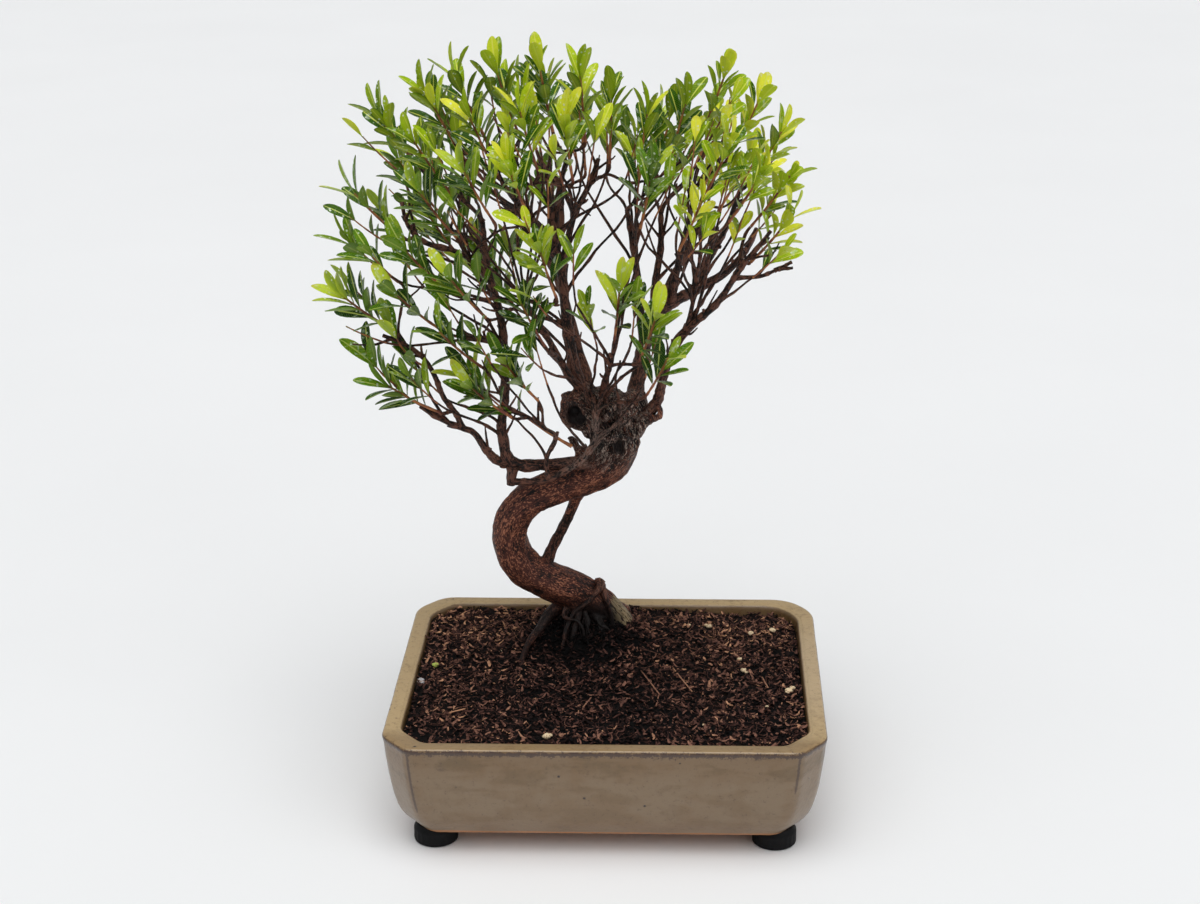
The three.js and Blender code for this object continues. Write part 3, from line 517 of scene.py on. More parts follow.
PLAN_ROOM = Room(wood=3.4, others=5.0, own=2.4)
INFILL_ROOM = Room(wood=1.3, others=3.0, own=2.5)
TIP_ROOM = Room(wood=1.0, others=2.0, own=1.2)


class Surroundings:
    """The wood and the leaves that stand already, which new leaves keep clear of."""

    REACH = 42.0

    def __init__(self, low: Array, high: Array) -> None:
        """Starts empty, with the corners of the space that the crown may fill.

        Args:
            low: The least x, y and z.
            high: The greatest x, y and z.
        """
        self.low, self.high = low, high
        self.starts, self.ends = np.zeros((0, 3)), np.zeros((0, 3))
        self.radii, self.owners = np.zeros(0), np.zeros(0, int)
        self.leaves, self.leaf_owners = np.zeros((0, 8, 3)), np.zeros(0, int)

    def add_line(self, line: Line, owner: int) -> None:
        """Adds the straight stretches of a line.

        Args:
            line: The line.
            owner: The spray that it belongs to, or -1 for limbs and the trunk.
        """
        self.starts = np.vstack([self.starts, line.centres[:-1]])
        self.ends = np.vstack([self.ends, line.centres[1:]])
        self.radii = np.append(self.radii, np.maximum(line.radii[:-1], line.radii[1:]))
        self.owners = np.append(self.owners, np.full(len(line.radii) - 1, owner))

    def add_leaf(self, probes: Array, owner: int) -> None:
        """Adds the points of a leaf."""
        self.leaves = np.concatenate([self.leaves, probes[None]])
        self.leaf_owners = np.append(self.leaf_owners, owner)

    def wood_gap(self, points: Array, owner: int) -> float:
        """The least distance from points to the wood that isn't the owner's.

        Args:
            points: Points, (n, 3).
            owner: The spray whose own wood doesn't count.

        Returns:
            The distance from the wood's surface, in millimetres.
        """
        used = self.owners != owner
        start, way = self.starts[used], (self.ends - self.starts)[used]
        offset = points[:, None] - start
        share = np.clip((offset * way).sum(-1) / (way * way).sum(-1), 0, 1)
        far = np.linalg.norm(offset - way * share[..., None], axis=-1)
        return float((far - self.radii[used]).min())

    def has_room(self, leaf: Leaf, owner: int, room: Room, bounded: bool = False) -> bool:
        """Whether a leaf is clear of what stands already.

        Args:
            leaf: The leaf.
            owner: The spray that it grows on.
            room: The free space that it needs.
            bounded: Whether it also has to stay in the crown's space.

        Returns:
            True if it is clear.
        """
        probes = leaf.probes()
        if bounded and not np.all((probes > self.low) & (probes < self.high)):
            return False
        if self.wood_gap(probes, owner) < room.wood:
            return False
        near = np.linalg.norm(self.leaves[:, 1] - probes[1], axis=-1) < self.REACH
        gaps = np.linalg.norm(self.leaves[near][:, :, None] - probes, axis=-1)
        gaps = gaps.min((1, 2), initial=FAR)
        needed = np.where(self.leaf_owners[near] == owner, room.own, room.others)
        return bool(np.all(gaps > needed))


def grown_leaf(at: Place, outward: Array, spread: float, length: float, **looks: float) -> Leaf:
    """A leaf that leans from its stem towards a direction across it, and lifts a little.

    Args:
        at: The place on the stem.
        outward: The direction across the stem.
        spread: The angle from the stem, in radians.
        length: The leaf's length in millimetres.
        **looks: A Leaf's curl, twist, sway, tone and width, where they aren't the usual ones.

    Returns:
        The leaf.
    """
    direction = at.tangent * math.cos(spread) + outward * math.sin(spread)
    direction = unit(direction + UP * LEAF_LIFT)
    across = np.cross(at.tangent, outward)
    across = unit(across - direction * (across @ direction))
    looks.setdefault("width", LEAF_WIDTH * length / LEAF_LENGTH)
    root = at.centre + outward * at.radius * LEAF_ROOT_DEPTH
    return Leaf(root, direction, across, np.cross(direction, across), length, **looks)


@dataclass
class Spray:
    """A leafy spray: the twig that holds it, its stems and its leaves."""

    owner: int
    start: Start
    twig: Line
    stems: list[Line] = field(default_factory=list)
    feeders: list[Line] = field(default_factory=list)
    leaves: list[Leaf] = field(default_factory=list)
    rolls: list[float] = field(default_factory=list)
    first_leaves: int = 0


@dataclass
class CrownPlan:
    """Where the crown's twigs, stems and leaves stand.

    The twigs, main stems and first leaves are those of the solids. The infill is drawn after
    them: more leaf pairs on each main stem, and side shoots with leaves of their own. An infill
    pair is its share of the stem, its spread in radians and its size against a full leaf.
    """

    low: Array
    high: Array
    hub: Triple = (-5.0, 35.0, 250.0)
    stem_behind: float = 34.0
    bend_tries: int = 12
    shoot_tries: int = 6
    low_pairs: tuple[float, ...] = (0.42, 0.54, 0.65, 0.75, 0.85, 0.94)
    stem_filling: tuple[Triple, ...] = ((0.3, 0.85, 0.84), (0.58, 0.7, 0.96), (0.82, 0.5, 0.9))
    shoot_dressing: tuple[Triple, ...] = ((0.34, 0.8, 0.84), (0.6, 0.62, 0.96), (0.85, 0.44, 0.92))
    sprays: list[Spray] = field(default_factory=list)

    def grow(self) -> None:
        """Places everything, first what the solids have and then the infill."""
        trunk = sampled_route(TRUNK_ROUTE, 2)
        limbs = [sampled_route(route, 1) for route in LIMB_ROUTES.values()]
        self.limbs = joined_lines(limbs)
        self.around = Surroundings(self.low, self.high)
        for line in [trunk, *limbs]:
            self.around.add_line(line, -1)
        self._grow_twigs(self.limbs)
        for spray in self.sprays:
            spray.stems.append(self._main_stem(spray))
            self.around.add_line(spray.stems[0], spray.owner)
        for spray in self.sprays:
            self._first_leaves(spray)
        for number, (owner, route) in enumerate(LOW_SHOOTS):
            self._add_low_shoot(self.sprays[owner], sampled_route(route, 3), number)
        for spray in self.sprays:
            self._fill_stem(spray)
        for spray in self.sprays:
            self._add_companions(spray)

    def _start(self, centre: Array) -> Start:
        """Behind a tuft's centre, pointing up and away from the crown's hub.

        Args:
            centre: The tuft's centre.

        Returns:
            Where its spray starts.
        """
        way = centre - np.array(self.hub)
        direction = unit(np.array([way[0], way[1], 0.55 * way[2] + 60]))
        return Start(centre - direction * self.stem_behind, direction)

    def _grow_twigs(self, wood: Line) -> None:
        """Grows a twig to each spray from the wood that is near it and behind it.

        Args:
            wood: The limbs. Each twig may hold the twigs that come after it.
        """
        for owner, centre in enumerate(TUFT_CENTRES):
            start = self._start(centre)
            way = start.base - wood.centres
            distance = np.linalg.norm(way, axis=1)
            cost = distance * (SIDE_COST - way @ start.direction / distance)
            hold = int(np.argmin(np.where((distance > 6) & (way[:, 2] > -2), cost, FAR)))
            pull = distance[hold] * 0.35
            leaving = unit(unit(way[hold]) + wood.tangents[hold])
            corners = np.array(
                [
                    wood.centres[hold],
                    wood.centres[hold] + leaving * pull,
                    start.base - start.direction * pull,
                    start.base,
                ]
            )
            radii = (min(1.6, wood.radii[hold] * 0.85), 1.0)
            coarse = bent_line(corners, radii, 3)
            wood = joined_lines([wood, coarse.cut(1, -1)])
            self.around.add_line(coarse, owner)
            self.sprays.append(Spray(owner, start, bent_line(corners, radii, 12)))

    def _main_stem(self, spray: Spray) -> Line:
        """The main stem, bent aside where it would meet other wood.

        Its centre is base + direction (0.3 + 34 s) + bend 34 s^2.

        Args:
            spray: The spray.

        Returns:
            The stem's line.
        """
        base, direction = spray.start.base, spray.start.direction
        side = unit(np.array([-direction[1], direction[0], 0.0]))
        share = np.linspace(0, 1, 4)[:, None]
        for attempt in range(self.bend_tries):
            lean = math.ceil(attempt / 2) * STEM_RISE * (1 if attempt % 2 else -1)
            bend = UP * STEM_RISE + side * lean
            straight = base + direction * (STEM_GAP + STEM_LENGTH * share)
            centres = straight + bend * STEM_LENGTH * share**2
            if self.around.wood_gap(centres[1:], spray.owner) > 2.6:
                break
        return Line(centres, 1.05 * (1 - 0.3 * share[:, 0]), unit(direction + 2 * share * bend))

    def _first_leaves(self, spray: Spray) -> None:
        """The three leaf pairs and the tip leaf of the spray's solid.

        Args:
            spray: The spray.
        """
        draws = Draws(spray.owner + 40)
        looks = np.random.default_rng(900 + spray.owner)
        first_roll = draws.between(0, math.pi)
        stem = spray.stems[0]
        for pair in range(LEAF_PAIRS):
            share = (pair + 1) / LEAF_PAIRS
            length = LEAF_LENGTH * draws.between(0.88, 1.06) * (1 - 0.12 * share)
            spread = draws.between(0.8, 1) - 0.35 * share
            step = (LAST_PAIR - FIRST_PAIR) / (LEAF_PAIRS - 1)
            at = place_on(stem, FIRST_PAIR + step * pair)
            turn = math.pi / 2 * (pair % 2)
            rolls = [first_roll + roll + turn for roll in ROLLS]
            self._add_pair(spray, at, rolls, spread, length, PLAN_ROOM, looks, bounded=False)
        last = place_on(stem, LAST_PAIR)
        tip = Place(last.centre + last.tangent * 1.3, 0.0, last.tangent, last.level, last.other)
        roll = spray.rolls[-1] - math.pi / 2 * ((LEAF_PAIRS - 1) % 2)
        leaf = grown_leaf(tip, tip.outward(roll), 0.15, LEAF_LENGTH * 0.85, **self._looks(looks))
        if self.around.has_room(leaf, spray.owner, PLAN_ROOM):
            self._keep(spray, leaf)
        spray.first_leaves = len(spray.leaves)

    def _looks(self, draws: np.random.Generator) -> dict[str, float]:
        """Random curl, twist, sway and tone of a leaf.

        Args:
            draws: Random numbers.

        Returns:
            The values, by the name of a Leaf's field.
        """
        return {
            "curl": draws.uniform(0.02, 0.17),
            "twist": draws.normal(0, 0.3),
            "sway": draws.normal(0, 0.045),
            "tone": draws.normal(0, 0.24),
        }

    def _keep(self, spray: Spray, leaf: Leaf) -> None:
        """Adds a leaf to its spray and to what later leaves keep clear of."""
        spray.leaves.append(leaf)
        self.around.add_leaf(leaf.probes(), spray.owner)

    def _add_pair(
        self,
        spray: Spray,
        at: Place,
        rolls: Sequence[float],
        spread: float,
        length: float,
        room: Room,
        draws: np.random.Generator,
        bounded: bool = True,
    ) -> None:
        """Adds the leaves of an opposite pair that have room, at the turn that keeps most.

        Args:
            spray: The spray that they grow on.
            at: The place on the stem.
            rolls: The turns round the stem to try.
            spread: The leaves' angle from the stem.
            length: Their length.
            room: The free space that they need.
            draws: Random numbers for their looks.
            bounded: Whether they have to stay in the crown's space.
        """
        best: list[Leaf] = []
        best_roll = rolls[0]
        looks = [self._looks(draws), self._looks(draws)]
        for roll in rolls:
            pair = [
                grown_leaf(at, at.outward(roll + side * math.pi), spread, length, **looks[side])
                for side in (0, 1)
            ]
            free = [leaf for leaf in pair if self.around.has_room(leaf, spray.owner, room, bounded)]
            if len(free) > len(best):
                best, best_roll = free, roll
        spray.rolls.append(best_roll)
        for leaf in best:
            self._keep(spray, leaf)

    def _add_low_shoot(self, spray: Spray, shoot: Line, number: int) -> None:
        """A long shoot with a given route, and opposite leaves on its outer half.

        Args:
            spray: The spray that it is part of.
            shoot: Its line.
            number: Its number, which seeds its leaves.
        """
        draws = np.random.default_rng(800 + number)
        spray.stems.append(shoot)
        self.around.add_line(shoot, spray.owner)
        roll = draws.uniform(0, math.pi)
        for share in self.low_pairs:
            at = place_on(shoot, share)
            length = LEAF_LENGTH * draws.uniform(0.72, 1.08)
            rolls = [roll + turn for turn in (0.0, 0.5, -0.5)]
            spread = 1.15 - 0.6 * share + draws.uniform(-0.1, 0.15)
            self._add_pair(spray, at, rolls, spread, length, INFILL_ROOM, draws)
            roll += math.pi / 2
        at = place_on(shoot, 1)
        leaf = grown_leaf(at, at.outward(roll), 0.12, LEAF_LENGTH * 0.9, **self._looks(draws))
        self._keep(spray, leaf)

    def _fill_stem(self, spray: Spray) -> None:
        """More leaf pairs between the first ones, and two small leaves at the tip.

        Args:
            spray: The spray.
        """
        draws = np.random.default_rng(300 + spray.owner)
        for share, spread, size in self.stem_filling:
            at = place_on(spray.stems[0], share)
            roll = spray.rolls[0] + math.pi / 4 + draws.uniform(-0.3, 0.3)
            length = LEAF_LENGTH * size * draws.uniform(0.72, 1.06)
            rolls = [roll + turn for turn in (0.0, 0.35, -0.35, 0.7, -0.7)]
            self._add_pair(spray, at, rolls, spread, length, INFILL_ROOM, draws)
        at = place_on(spray.stems[0], 1)
        length = LEAF_LENGTH * draws.uniform(0.4, 0.62)
        if draws.uniform() < 0.5:
            self._add_pair(spray, at, [spray.rolls[1] + 0.4], 0.36, length, TIP_ROOM, draws)

    def _add_companions(self, spray: Spray) -> None:
        """Leafy shoots beside the main stem, each fed by a long slim branch of its own.

        Args:
            spray: The spray.
        """
        draws = np.random.default_rng(600 + spray.owner)
        centre, start = TUFT_CENTRES[spray.owner], spray.start
        in_front = centre[1] < -10 and centre[2] < 345
        level = unit(np.cross(UP, start.direction))
        at = Place(start.base, 1.0, start.direction, level, np.cross(start.direction, level))
        turn = draws.uniform(0, FULL_TURN)
        for _ in range(1 if in_front else 2):
            turn += 2.1 + draws.uniform(-0.4, 0.4)
            shoot = self._companion(spray, at, turn, draws)
            if shoot is not None:
                spray.stems.append(shoot)
                spray.feeders.append(self._feeder(shoot, draws))
                self.around.add_line(shoot, spray.owner)
                self._dress_shoot(spray, shoot, draws)

    def _companion(
        self, spray: Spray, at: Place, turn: float, draws: np.random.Generator
    ) -> Optional[Line]:
        """A short stem that stands beside the main one and leans away from it.

        Args:
            spray: The spray that it belongs to.
            at: The foot of the main stem.
            turn: The first turn round the main stem to try.
            draws: Random numbers.

        Returns:
            Its line, or None where no turn has room for it.
        """
        reach, apart = draws.uniform(19, 27), draws.uniform(8, 14)
        ahead = draws.uniform(-8, 10)
        for attempt in range(self.shoot_tries):
            outward = at.outward(turn + attempt)
            base = at.centre + outward * apart + at.tangent * ahead
            way = unit(at.tangent + outward * 0.35 + UP * 0.2) * reach
            rise = UP * reach * 0.1
            later = base + way * 0.67 + rise * 0.3
            corners = np.array([base, base + way * 0.33, later, base + way + rise])
            line = bent_line(corners, (0.68, 0.45), 5)
            tip = line.centres[-1] + line.tangents[-1] * 14
            inside = np.all((tip > self.low) & (tip < self.high))
            clear = self.around.wood_gap(line.centres[2:], spray.owner) > 1.4
            if inside and clear and self._has_air(line, spray.owner):
                return line
        return None

    def _feeder(self, shoot: Line, draws: np.random.Generator) -> Line:
        """A long branch from a limb below to the foot of a shoot.

        Args:
            shoot: The shoot.
            draws: Random numbers.

        Returns:
            The branch's line.
        """
        base, direction = shoot.centres[0], shoot.tangents[0]
        way = base - self.limbs.centres
        distance = np.linalg.norm(way, axis=1)
        cost = distance * (SIDE_COST - way @ direction / distance)
        usable = (distance > draws.uniform(26, 74)) & (way[:, 2] > 4)
        hold = int(np.argmin(np.where(usable, cost, FAR)))
        pull = distance[hold] * 0.33
        leaving = unit(unit(way[hold]) + 0.7 * self.limbs.tangents[hold] + 0.2 * UP)
        centre = self.limbs.centres[hold]
        corners = np.array([centre, centre + leaving * pull, base - direction * pull, base])
        return bent_line(corners, (min(1.05, self.limbs.radii[hold] * 0.6), 0.6), 14)

    def _has_air(self, line: Line, owner: int) -> bool:
        """Whether a shoot's upper half keeps out of other sprays' leaves.

        Args:
            line: The shoot's line.
            owner: The spray that it belongs to.

        Returns:
            True if it does.
        """
        others = self.around.leaves[self.around.leaf_owners != owner].reshape(-1, 3)
        gaps = np.linalg.norm(others - line.centres[3:, None], axis=-1)
        return bool(gaps.min() > 3.2)

    def _dress_shoot(self, spray: Spray, shoot: Line, draws: np.random.Generator) -> None:
        """Three leaf pairs and a tip leaf on a side shoot.

        Args:
            spray: The spray.
            shoot: The shoot's line.
            draws: Random numbers.
        """
        roll = draws.uniform(0, math.pi)
        for share, spread, size in self.shoot_dressing:
            at = place_on(shoot, share)
            length = LEAF_LENGTH * size * draws.uniform(0.72, 1.06)
            rolls = [roll + turn for turn in (0.0, 0.4, -0.4)]
            self._add_pair(spray, at, rolls, spread, length, INFILL_ROOM, draws)
            roll += math.pi / 2
        at = place_on(shoot, 1)
        leaf = grown_leaf(at, at.outward(roll), 0.1, LEAF_LENGTH * 0.7, **self._looks(draws))
        if self.around.has_room(leaf, spray.owner, TIP_ROOM, bounded=True):
            self._keep(spray, leaf)


def keep_value(mesh: bpy.types.Mesh, name: str, value: Array) -> None:
    """Gives a mesh a number, or a vector, at each of its vertices."""
    kind, part = ("FLOAT_VECTOR", "vector") if value.ndim == 2 else ("FLOAT", "value")
    mesh.attributes.new(name, kind, "POINT").data.foreach_set(part, value.ravel())


class Skin:
    """The vertices, faces and values of one piece while it is being built, in millimetres."""

    def __init__(self) -> None:
        """Starts empty."""
        self.points: list[Array] = []
        self.faces: list[tuple[Array, int]] = []
        self.values: dict[str, list[Array]] = {}
        self.count = 0

    def add_tubes(
        self, rings: Array, values: dict[str, Array], poles: Optional[Array] = None, slot: int = 0
    ) -> None:
        """Adds closed tubes that all have the same number of rings and sides.

        Walls join each ring to the next, and each end is closed by a fan to a pole.

        Args:
            rings: Ring points, (tubes, rings, sides, 3), anticlockwise seen against the tube's way.
            values: Named values at the ring points, (tubes, rings, sides) or with 3 at the end.
            poles: The end points, (tubes, 2, 3), or None for the middles of the end rings.
            slot: The number of the material.
        """
        tubes, count, sides = rings.shape[:3]
        if poles is None:
            poles = rings[:, [0, -1]].mean(axis=2)
        points = np.concatenate([rings.reshape(tubes, -1, 3), poles], axis=1)
        self.points.append(points.reshape(-1, 3))
        for name, value in values.items():
            ends = value[:, [0, -1]].mean(axis=2)
            shape = (tubes, count * sides) + value.shape[3:]
            whole = np.concatenate([value.reshape(shape), ends], axis=1)
            self.values.setdefault(name, []).append(whole.reshape((-1,) + value.shape[3:]))
        starts = self.count + np.arange(tubes)[:, None, None] * (count * sides + 2)
        self.count += tubes * (count * sides + 2)
        side = np.arange(sides)
        after = (side + 1) % sides
        low = np.arange(count - 1)[:, None] * sides
        high = low + sides
        walls = np.stack([low + side, low + after, high + after, high + side], axis=-1)
        last = (count - 1) * sides
        bottom = np.stack([np.full(sides, count * sides), after, side], axis=-1)
        top = np.stack([np.full(sides, count * sides + 1), last + side, last + after], axis=-1)
        self.faces.append(((starts + walls.reshape(1, -1, 4)).reshape(-1, 4), slot))
        self.faces.append(((starts + bottom[None]).reshape(-1, 3), slot))
        self.faces.append(((starts + top[None]).reshape(-1, 3), slot))

    def make(self, name: str, finishes: Sequence[Material], sharp: float = 180) -> Piece:
        """Makes the piece, in metres and in the solids' frame.

        Args:
            name: The piece's name.
            finishes: Its materials.
            sharp: The angle in degrees past which an edge isn't smoothed.

        Returns:
            The piece.
        """
        points = (np.concatenate(self.points) + PotFrame.centre) * MM
        mesh = bpy.data.meshes.new(name)
        mesh.vertices.add(len(points))
        mesh.vertices.foreach_set("co", points.ravel())
        corners = np.concatenate([faces.ravel() for faces, _ in self.faces])
        sizes = np.concatenate([np.full(len(faces), faces.shape[1]) for faces, _ in self.faces])
        slots = np.concatenate([np.full(len(faces), slot) for faces, slot in self.faces])
        mesh.loops.add(len(corners))
        mesh.loops.foreach_set("vertex_index", corners)
        mesh.polygons.add(len(sizes))
        mesh.polygons.foreach_set("loop_start", np.concatenate([[0], np.cumsum(sizes)[:-1]]))
        mesh.polygons.foreach_set("material_index", slots)
        mesh.polygons.foreach_set("use_smooth", np.ones(len(sizes), bool))
        mesh.update(calc_edges=True)
        for key, parts in self.values.items():
            keep_value(mesh, key, np.concatenate(parts))
        if sharp < 180:
            mesh.set_sharp_from_angle(angle=math.radians(sharp))
        for finish in finishes:
            mesh.materials.append(finish)
        piece = bpy.data.objects.new(name, mesh)
        bpy.context.scene.collection.objects.link(piece)
        return piece


class PotFrame:
    """The place of the pot's own origin in the solids' frame, in millimetres."""

    centre: Array = np.zeros(3)

    @classmethod
    def find(cls) -> None:
        """Reads it from two opposite feet, whose middle lies half the pot's skew behind it."""
        low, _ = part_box("pot_foot_front_left")
        _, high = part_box("pot_foot_back_right")
        x, y = ((low[i] + high[i]) / 2 / MM for i in (0, 1))
        cls.centre = np.array([x, y - POT_SKEW / 2, 0.0])


def settled(piece: Piece) -> None:
    """Applies a piece's modifiers to its mesh.

    Args:
        piece: The piece.
    """
    graph = bpy.context.evaluated_depsgraph_get()
    mesh = bpy.data.meshes.new_from_object(piece.evaluated_get(graph), depsgraph=graph)
    piece.modifiers.clear()
    piece.data = mesh


def seated(piece: Piece, node: str) -> None:
    """Makes a piece ride on the part's body and stand for its solid.

    Args:
        piece: The piece.
        node: The solid that it stands for, alone or with others.
    """
    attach(piece, "root")
    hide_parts(node)
    triangles = sum(len(face.vertices) - 2 for face in piece.data.polygons)
    LOG.info("%s: %d triangles", piece.name, triangles)


def ball_rings(rings: int, sides: int) -> Array:
    """The rings of a ball of radius 1, from the lowest to the highest.

    Args:
        rings: How many there are between the poles.
        sides: Points in each ring.

    Returns:
        The rings, (rings, sides, 3).
    """
    lean = np.linspace(0, math.pi, rings + 2)[1:-1, None]
    turn = np.arange(sides) * FULL_TURN / sides
    across = np.sin(lean) * np.cos(turn), np.sin(lean) * np.sin(turn)
    return np.stack([*across, -np.cos(lean) * np.ones(sides)], axis=-1)


def swept(line: Line, sides: int, reach: Array) -> tuple[Array, Array]:
    """A tube along a line: centre + r cos(a) first side + r sin(a) second side.

    Args:
        line: The line.
        sides: Points in each ring.
        reach: The distance of each ring point from the centre, (n, sides), or of each ring, (n, 1).

    Returns:
        The rings, (1, n, sides, 3), and the unrolled place of each point on the wood: r cos(a),
        r sin(a) and the distance along the line.
    """
    across, along = line.frame()
    reach = np.broadcast_to(reach, (len(line.radii), sides))
    angle = np.arange(sides) * FULL_TURN / sides
    cos, sin = np.cos(angle)[:, None], np.sin(angle)[:, None]
    outward = cos * across[:, None] + sin * along[:, None]
    rings = line.centres[:, None] + reach[..., None] * outward
    distance = np.broadcast_to(line.along()[:, None], reach.shape)
    grain = np.stack([reach * cos[:, 0], reach * sin[:, 0], distance], axis=-1)
    return rings[None], grain[None]


Value = Union["Shade", float]


class Shade:
    """A number that changes over a surface. Python's operators on it add Math nodes."""

    def __init__(self, kit: "NodeKit", socket: Socket) -> None:
        """Wraps the output of a node."""
        self.kit = kit
        self.socket = socket

    def _made(self, operation: str, first: Value, second: Value = 0.0) -> "Shade":
        """The result of a Math node."""
        node = self.kit.node("ShaderNodeMath", {"operation": operation}, {0: first, 1: second})
        return Shade(self.kit, node.outputs[0])

    def __add__(self, other: Value) -> "Shade":
        """self + other."""
        return self._made("ADD", self, other)

    def __radd__(self, other: Value) -> "Shade":
        """other + self."""
        return self._made("ADD", other, self)

    def __sub__(self, other: Value) -> "Shade":
        """self - other."""
        return self._made("SUBTRACT", self, other)

    def __rsub__(self, other: Value) -> "Shade":
        """other - self."""
        return self._made("SUBTRACT", other, self)

    def __mul__(self, other: Value) -> "Shade":
        """self * other."""
        return self._made("MULTIPLY", self, other)

    def __rmul__(self, other: Value) -> "Shade":
        """other * self."""
        return self._made("MULTIPLY", other, self)

    def __truediv__(self, other: Value) -> "Shade":
        """self / other."""
        return self._made("DIVIDE", self, other)

    def __abs__(self) -> "Shade":
        """The size of self."""
        return self._made("ABSOLUTE", self)

    def sine(self) -> "Shade":
        """The sine of self."""
        return self._made("SINE", self)

    def step(self, low: float, high: float) -> "Shade":
        """0 where self is under low, 1 where it is over high, with a smooth change between.

        Args:
            low: Where the change starts. It may be over high, which turns the step round.
            high: Where it ends.

        Returns:
            A number from 0 to 1.
        """
        if low > high:
            return 1 - self.step(high, low)
        sockets = {"Value": self, "From Min": low, "From Max": high}
        node = self.kit.node("ShaderNodeMapRange", {"interpolation_type": "SMOOTHSTEP"}, sockets)
        return Shade(self.kit, node.outputs[0])


class NodeKit:
    """The nodes of one material, or of the world."""

    def __init__(self, name: str, world: bool = False) -> None:
        """Starts a material with a bare shader, or a world with nothing in it.

        Args:
            name: Its name.
            world: Whether it is a world.
        """
        self.block = (bpy.data.worlds if world else bpy.data.materials).new(name)
        self.block.use_nodes = True
        self.tree = self.block.node_tree
        self.tree.nodes.clear()
        if not world:
            self.shader = self.node("ShaderNodeBsdfPrincipled")
            self.node("ShaderNodeOutputMaterial", {}, {"Surface": self.shader.outputs[0]})

    def node(
        self,
        kind: str,
        settings: Optional[dict[str, object]] = None,
        sockets: Optional[dict[Union[str, int], object]] = None,
    ) -> bpy.types.Node:
        """Makes a node.

        Args:
            kind: Its type.
            settings: Its own settings, set first. "stops" are a ramp's positions and colours.
            sockets: The value or link of each input that isn't left as it is.

        Returns:
            The node.
        """
        made = self.tree.nodes.new(kind)
        for key, value in (settings or {}).items():
            if key == "stops":
                self._set_stops(made.color_ramp, value)
            else:
                setattr(made, key, value)
        self._fill(made, sockets or {})
        return made

    def _fill(self, node: bpy.types.Node, sockets: dict[Union[str, int], object]) -> None:
        """Gives inputs of a node their values or links.

        Args:
            node: The node.
            sockets: The value, or what is to be linked, for each input.
        """
        for key, value in sockets.items():
            given = value.socket if isinstance(value, Shade) else value
            if isinstance(given, Socket):
                self.tree.links.new(given, node.inputs[key])
            else:
                node.inputs[key].default_value = given

    @staticmethod
    def _set_stops(ramp: bpy.types.ColorRamp, stops: Sequence[tuple[float, Colour]]) -> None:
        """Gives a colour ramp its stops.

        Args:
            ramp: The ramp.
            stops: The positions and colours.
        """
        while len(ramp.elements) < len(stops):
            ramp.elements.new(0.5)
        for element, (position, colour) in zip(ramp.elements, stops):
            element.position = position
            element.color = colour

    def place(self) -> Socket:
        """The place on the object, in metres."""
        return self.node("ShaderNodeTexCoord").outputs["Object"]

    def named(self, name: str) -> bpy.types.Node:
        """The node of one of the piece's own attributes."""
        return self.node("ShaderNodeAttribute", {"attribute_name": name})

    def number(self, name: str) -> Shade:
        """One of the piece's own numbers."""
        return Shade(self, self.named(name).outputs["Fac"])

    def parts(self, vector: Socket) -> tuple[Shade, Shade, Shade]:
        """The three numbers of a vector."""
        x, y, z = self.node("ShaderNodeSeparateXYZ", {}, {0: vector}).outputs
        return Shade(self, x), Shade(self, y), Shade(self, z)

    def stretched(self, vector: Socket, by: Triple) -> Socket:
        """A vector with each part multiplied by a number of its own."""
        node = self.node("ShaderNodeVectorMath", {"operation": "MULTIPLY"}, {0: vector, 1: by})
        return node.outputs[0]

    def noise(self, where: Socket, scale: float, detail: float = 2, warp: float = 0) -> Shade:
        """Cloudy noise round 0.5.

        Args:
            where: The place.
            scale: Bumps to one unit of the place.
            detail: How many finer layers it has.
            warp: How much it is bent out of shape.

        Returns:
            The noise.
        """
        sockets = {"Vector": where, "Scale": scale, "Detail": detail, "Distortion": warp}
        return Shade(self, self.node("ShaderNodeTexNoise", {}, sockets).outputs["Fac"])

    def cells(self, where: Socket, scale: float) -> tuple[Shade, Shade]:
        """Random cells: the distance from each cell's centre, and a number for each cell.

        Args:
            where: The place.
            scale: Cells to one unit of the place.

        Returns:
            The distance and the number, which is from 0 to 1.
        """
        node = self.node("ShaderNodeTexVoronoi", {}, {"Vector": where, "Scale": scale})
        red, _, _ = self.parts(node.outputs["Color"])
        return Shade(self, node.outputs["Distance"]), red

    def mix(self, share: Value, first: object, second: object) -> Socket:
        """A colour between two, the second where share is 1.

        Args:
            share: How much of the second there is.
            first: The first colour.
            second: The second colour.

        Returns:
            The colour.
        """
        sockets = {0: share, 6: first, 7: second}
        node = self.node("ShaderNodeMix", {"data_type": "RGBA", "clamp_factor": True}, sockets)
        return node.outputs[2]

    def ramp(self, share: Shade, *stops: tuple[float, Colour]) -> Socket:
        """A colour picked along a ramp."""
        return self.node("ShaderNodeValToRGB", {"stops": stops}, {0: share}).outputs[0]

    def near(self, where: Socket, spot: Triple, inner: float, outer: float) -> Shade:
        """1 within one distance of a spot, and 0 past another.

        Args:
            where: The place in metres.
            spot: The spot in millimetres, in the pot's own frame.
            inner: The distance up to which it is 1, in millimetres.
            outer: The distance from which it is 0, in millimetres.

        Returns:
            A number from 0 to 1.
        """
        centre = tuple(float(v) for v in (np.array(spot) + PotFrame.centre) * MM)
        node = self.node("ShaderNodeVectorMath", {"operation": "DISTANCE"}, {0: where, 1: centre})
        return Shade(self, node.outputs["Value"]).step(outer * MM, inner * MM)

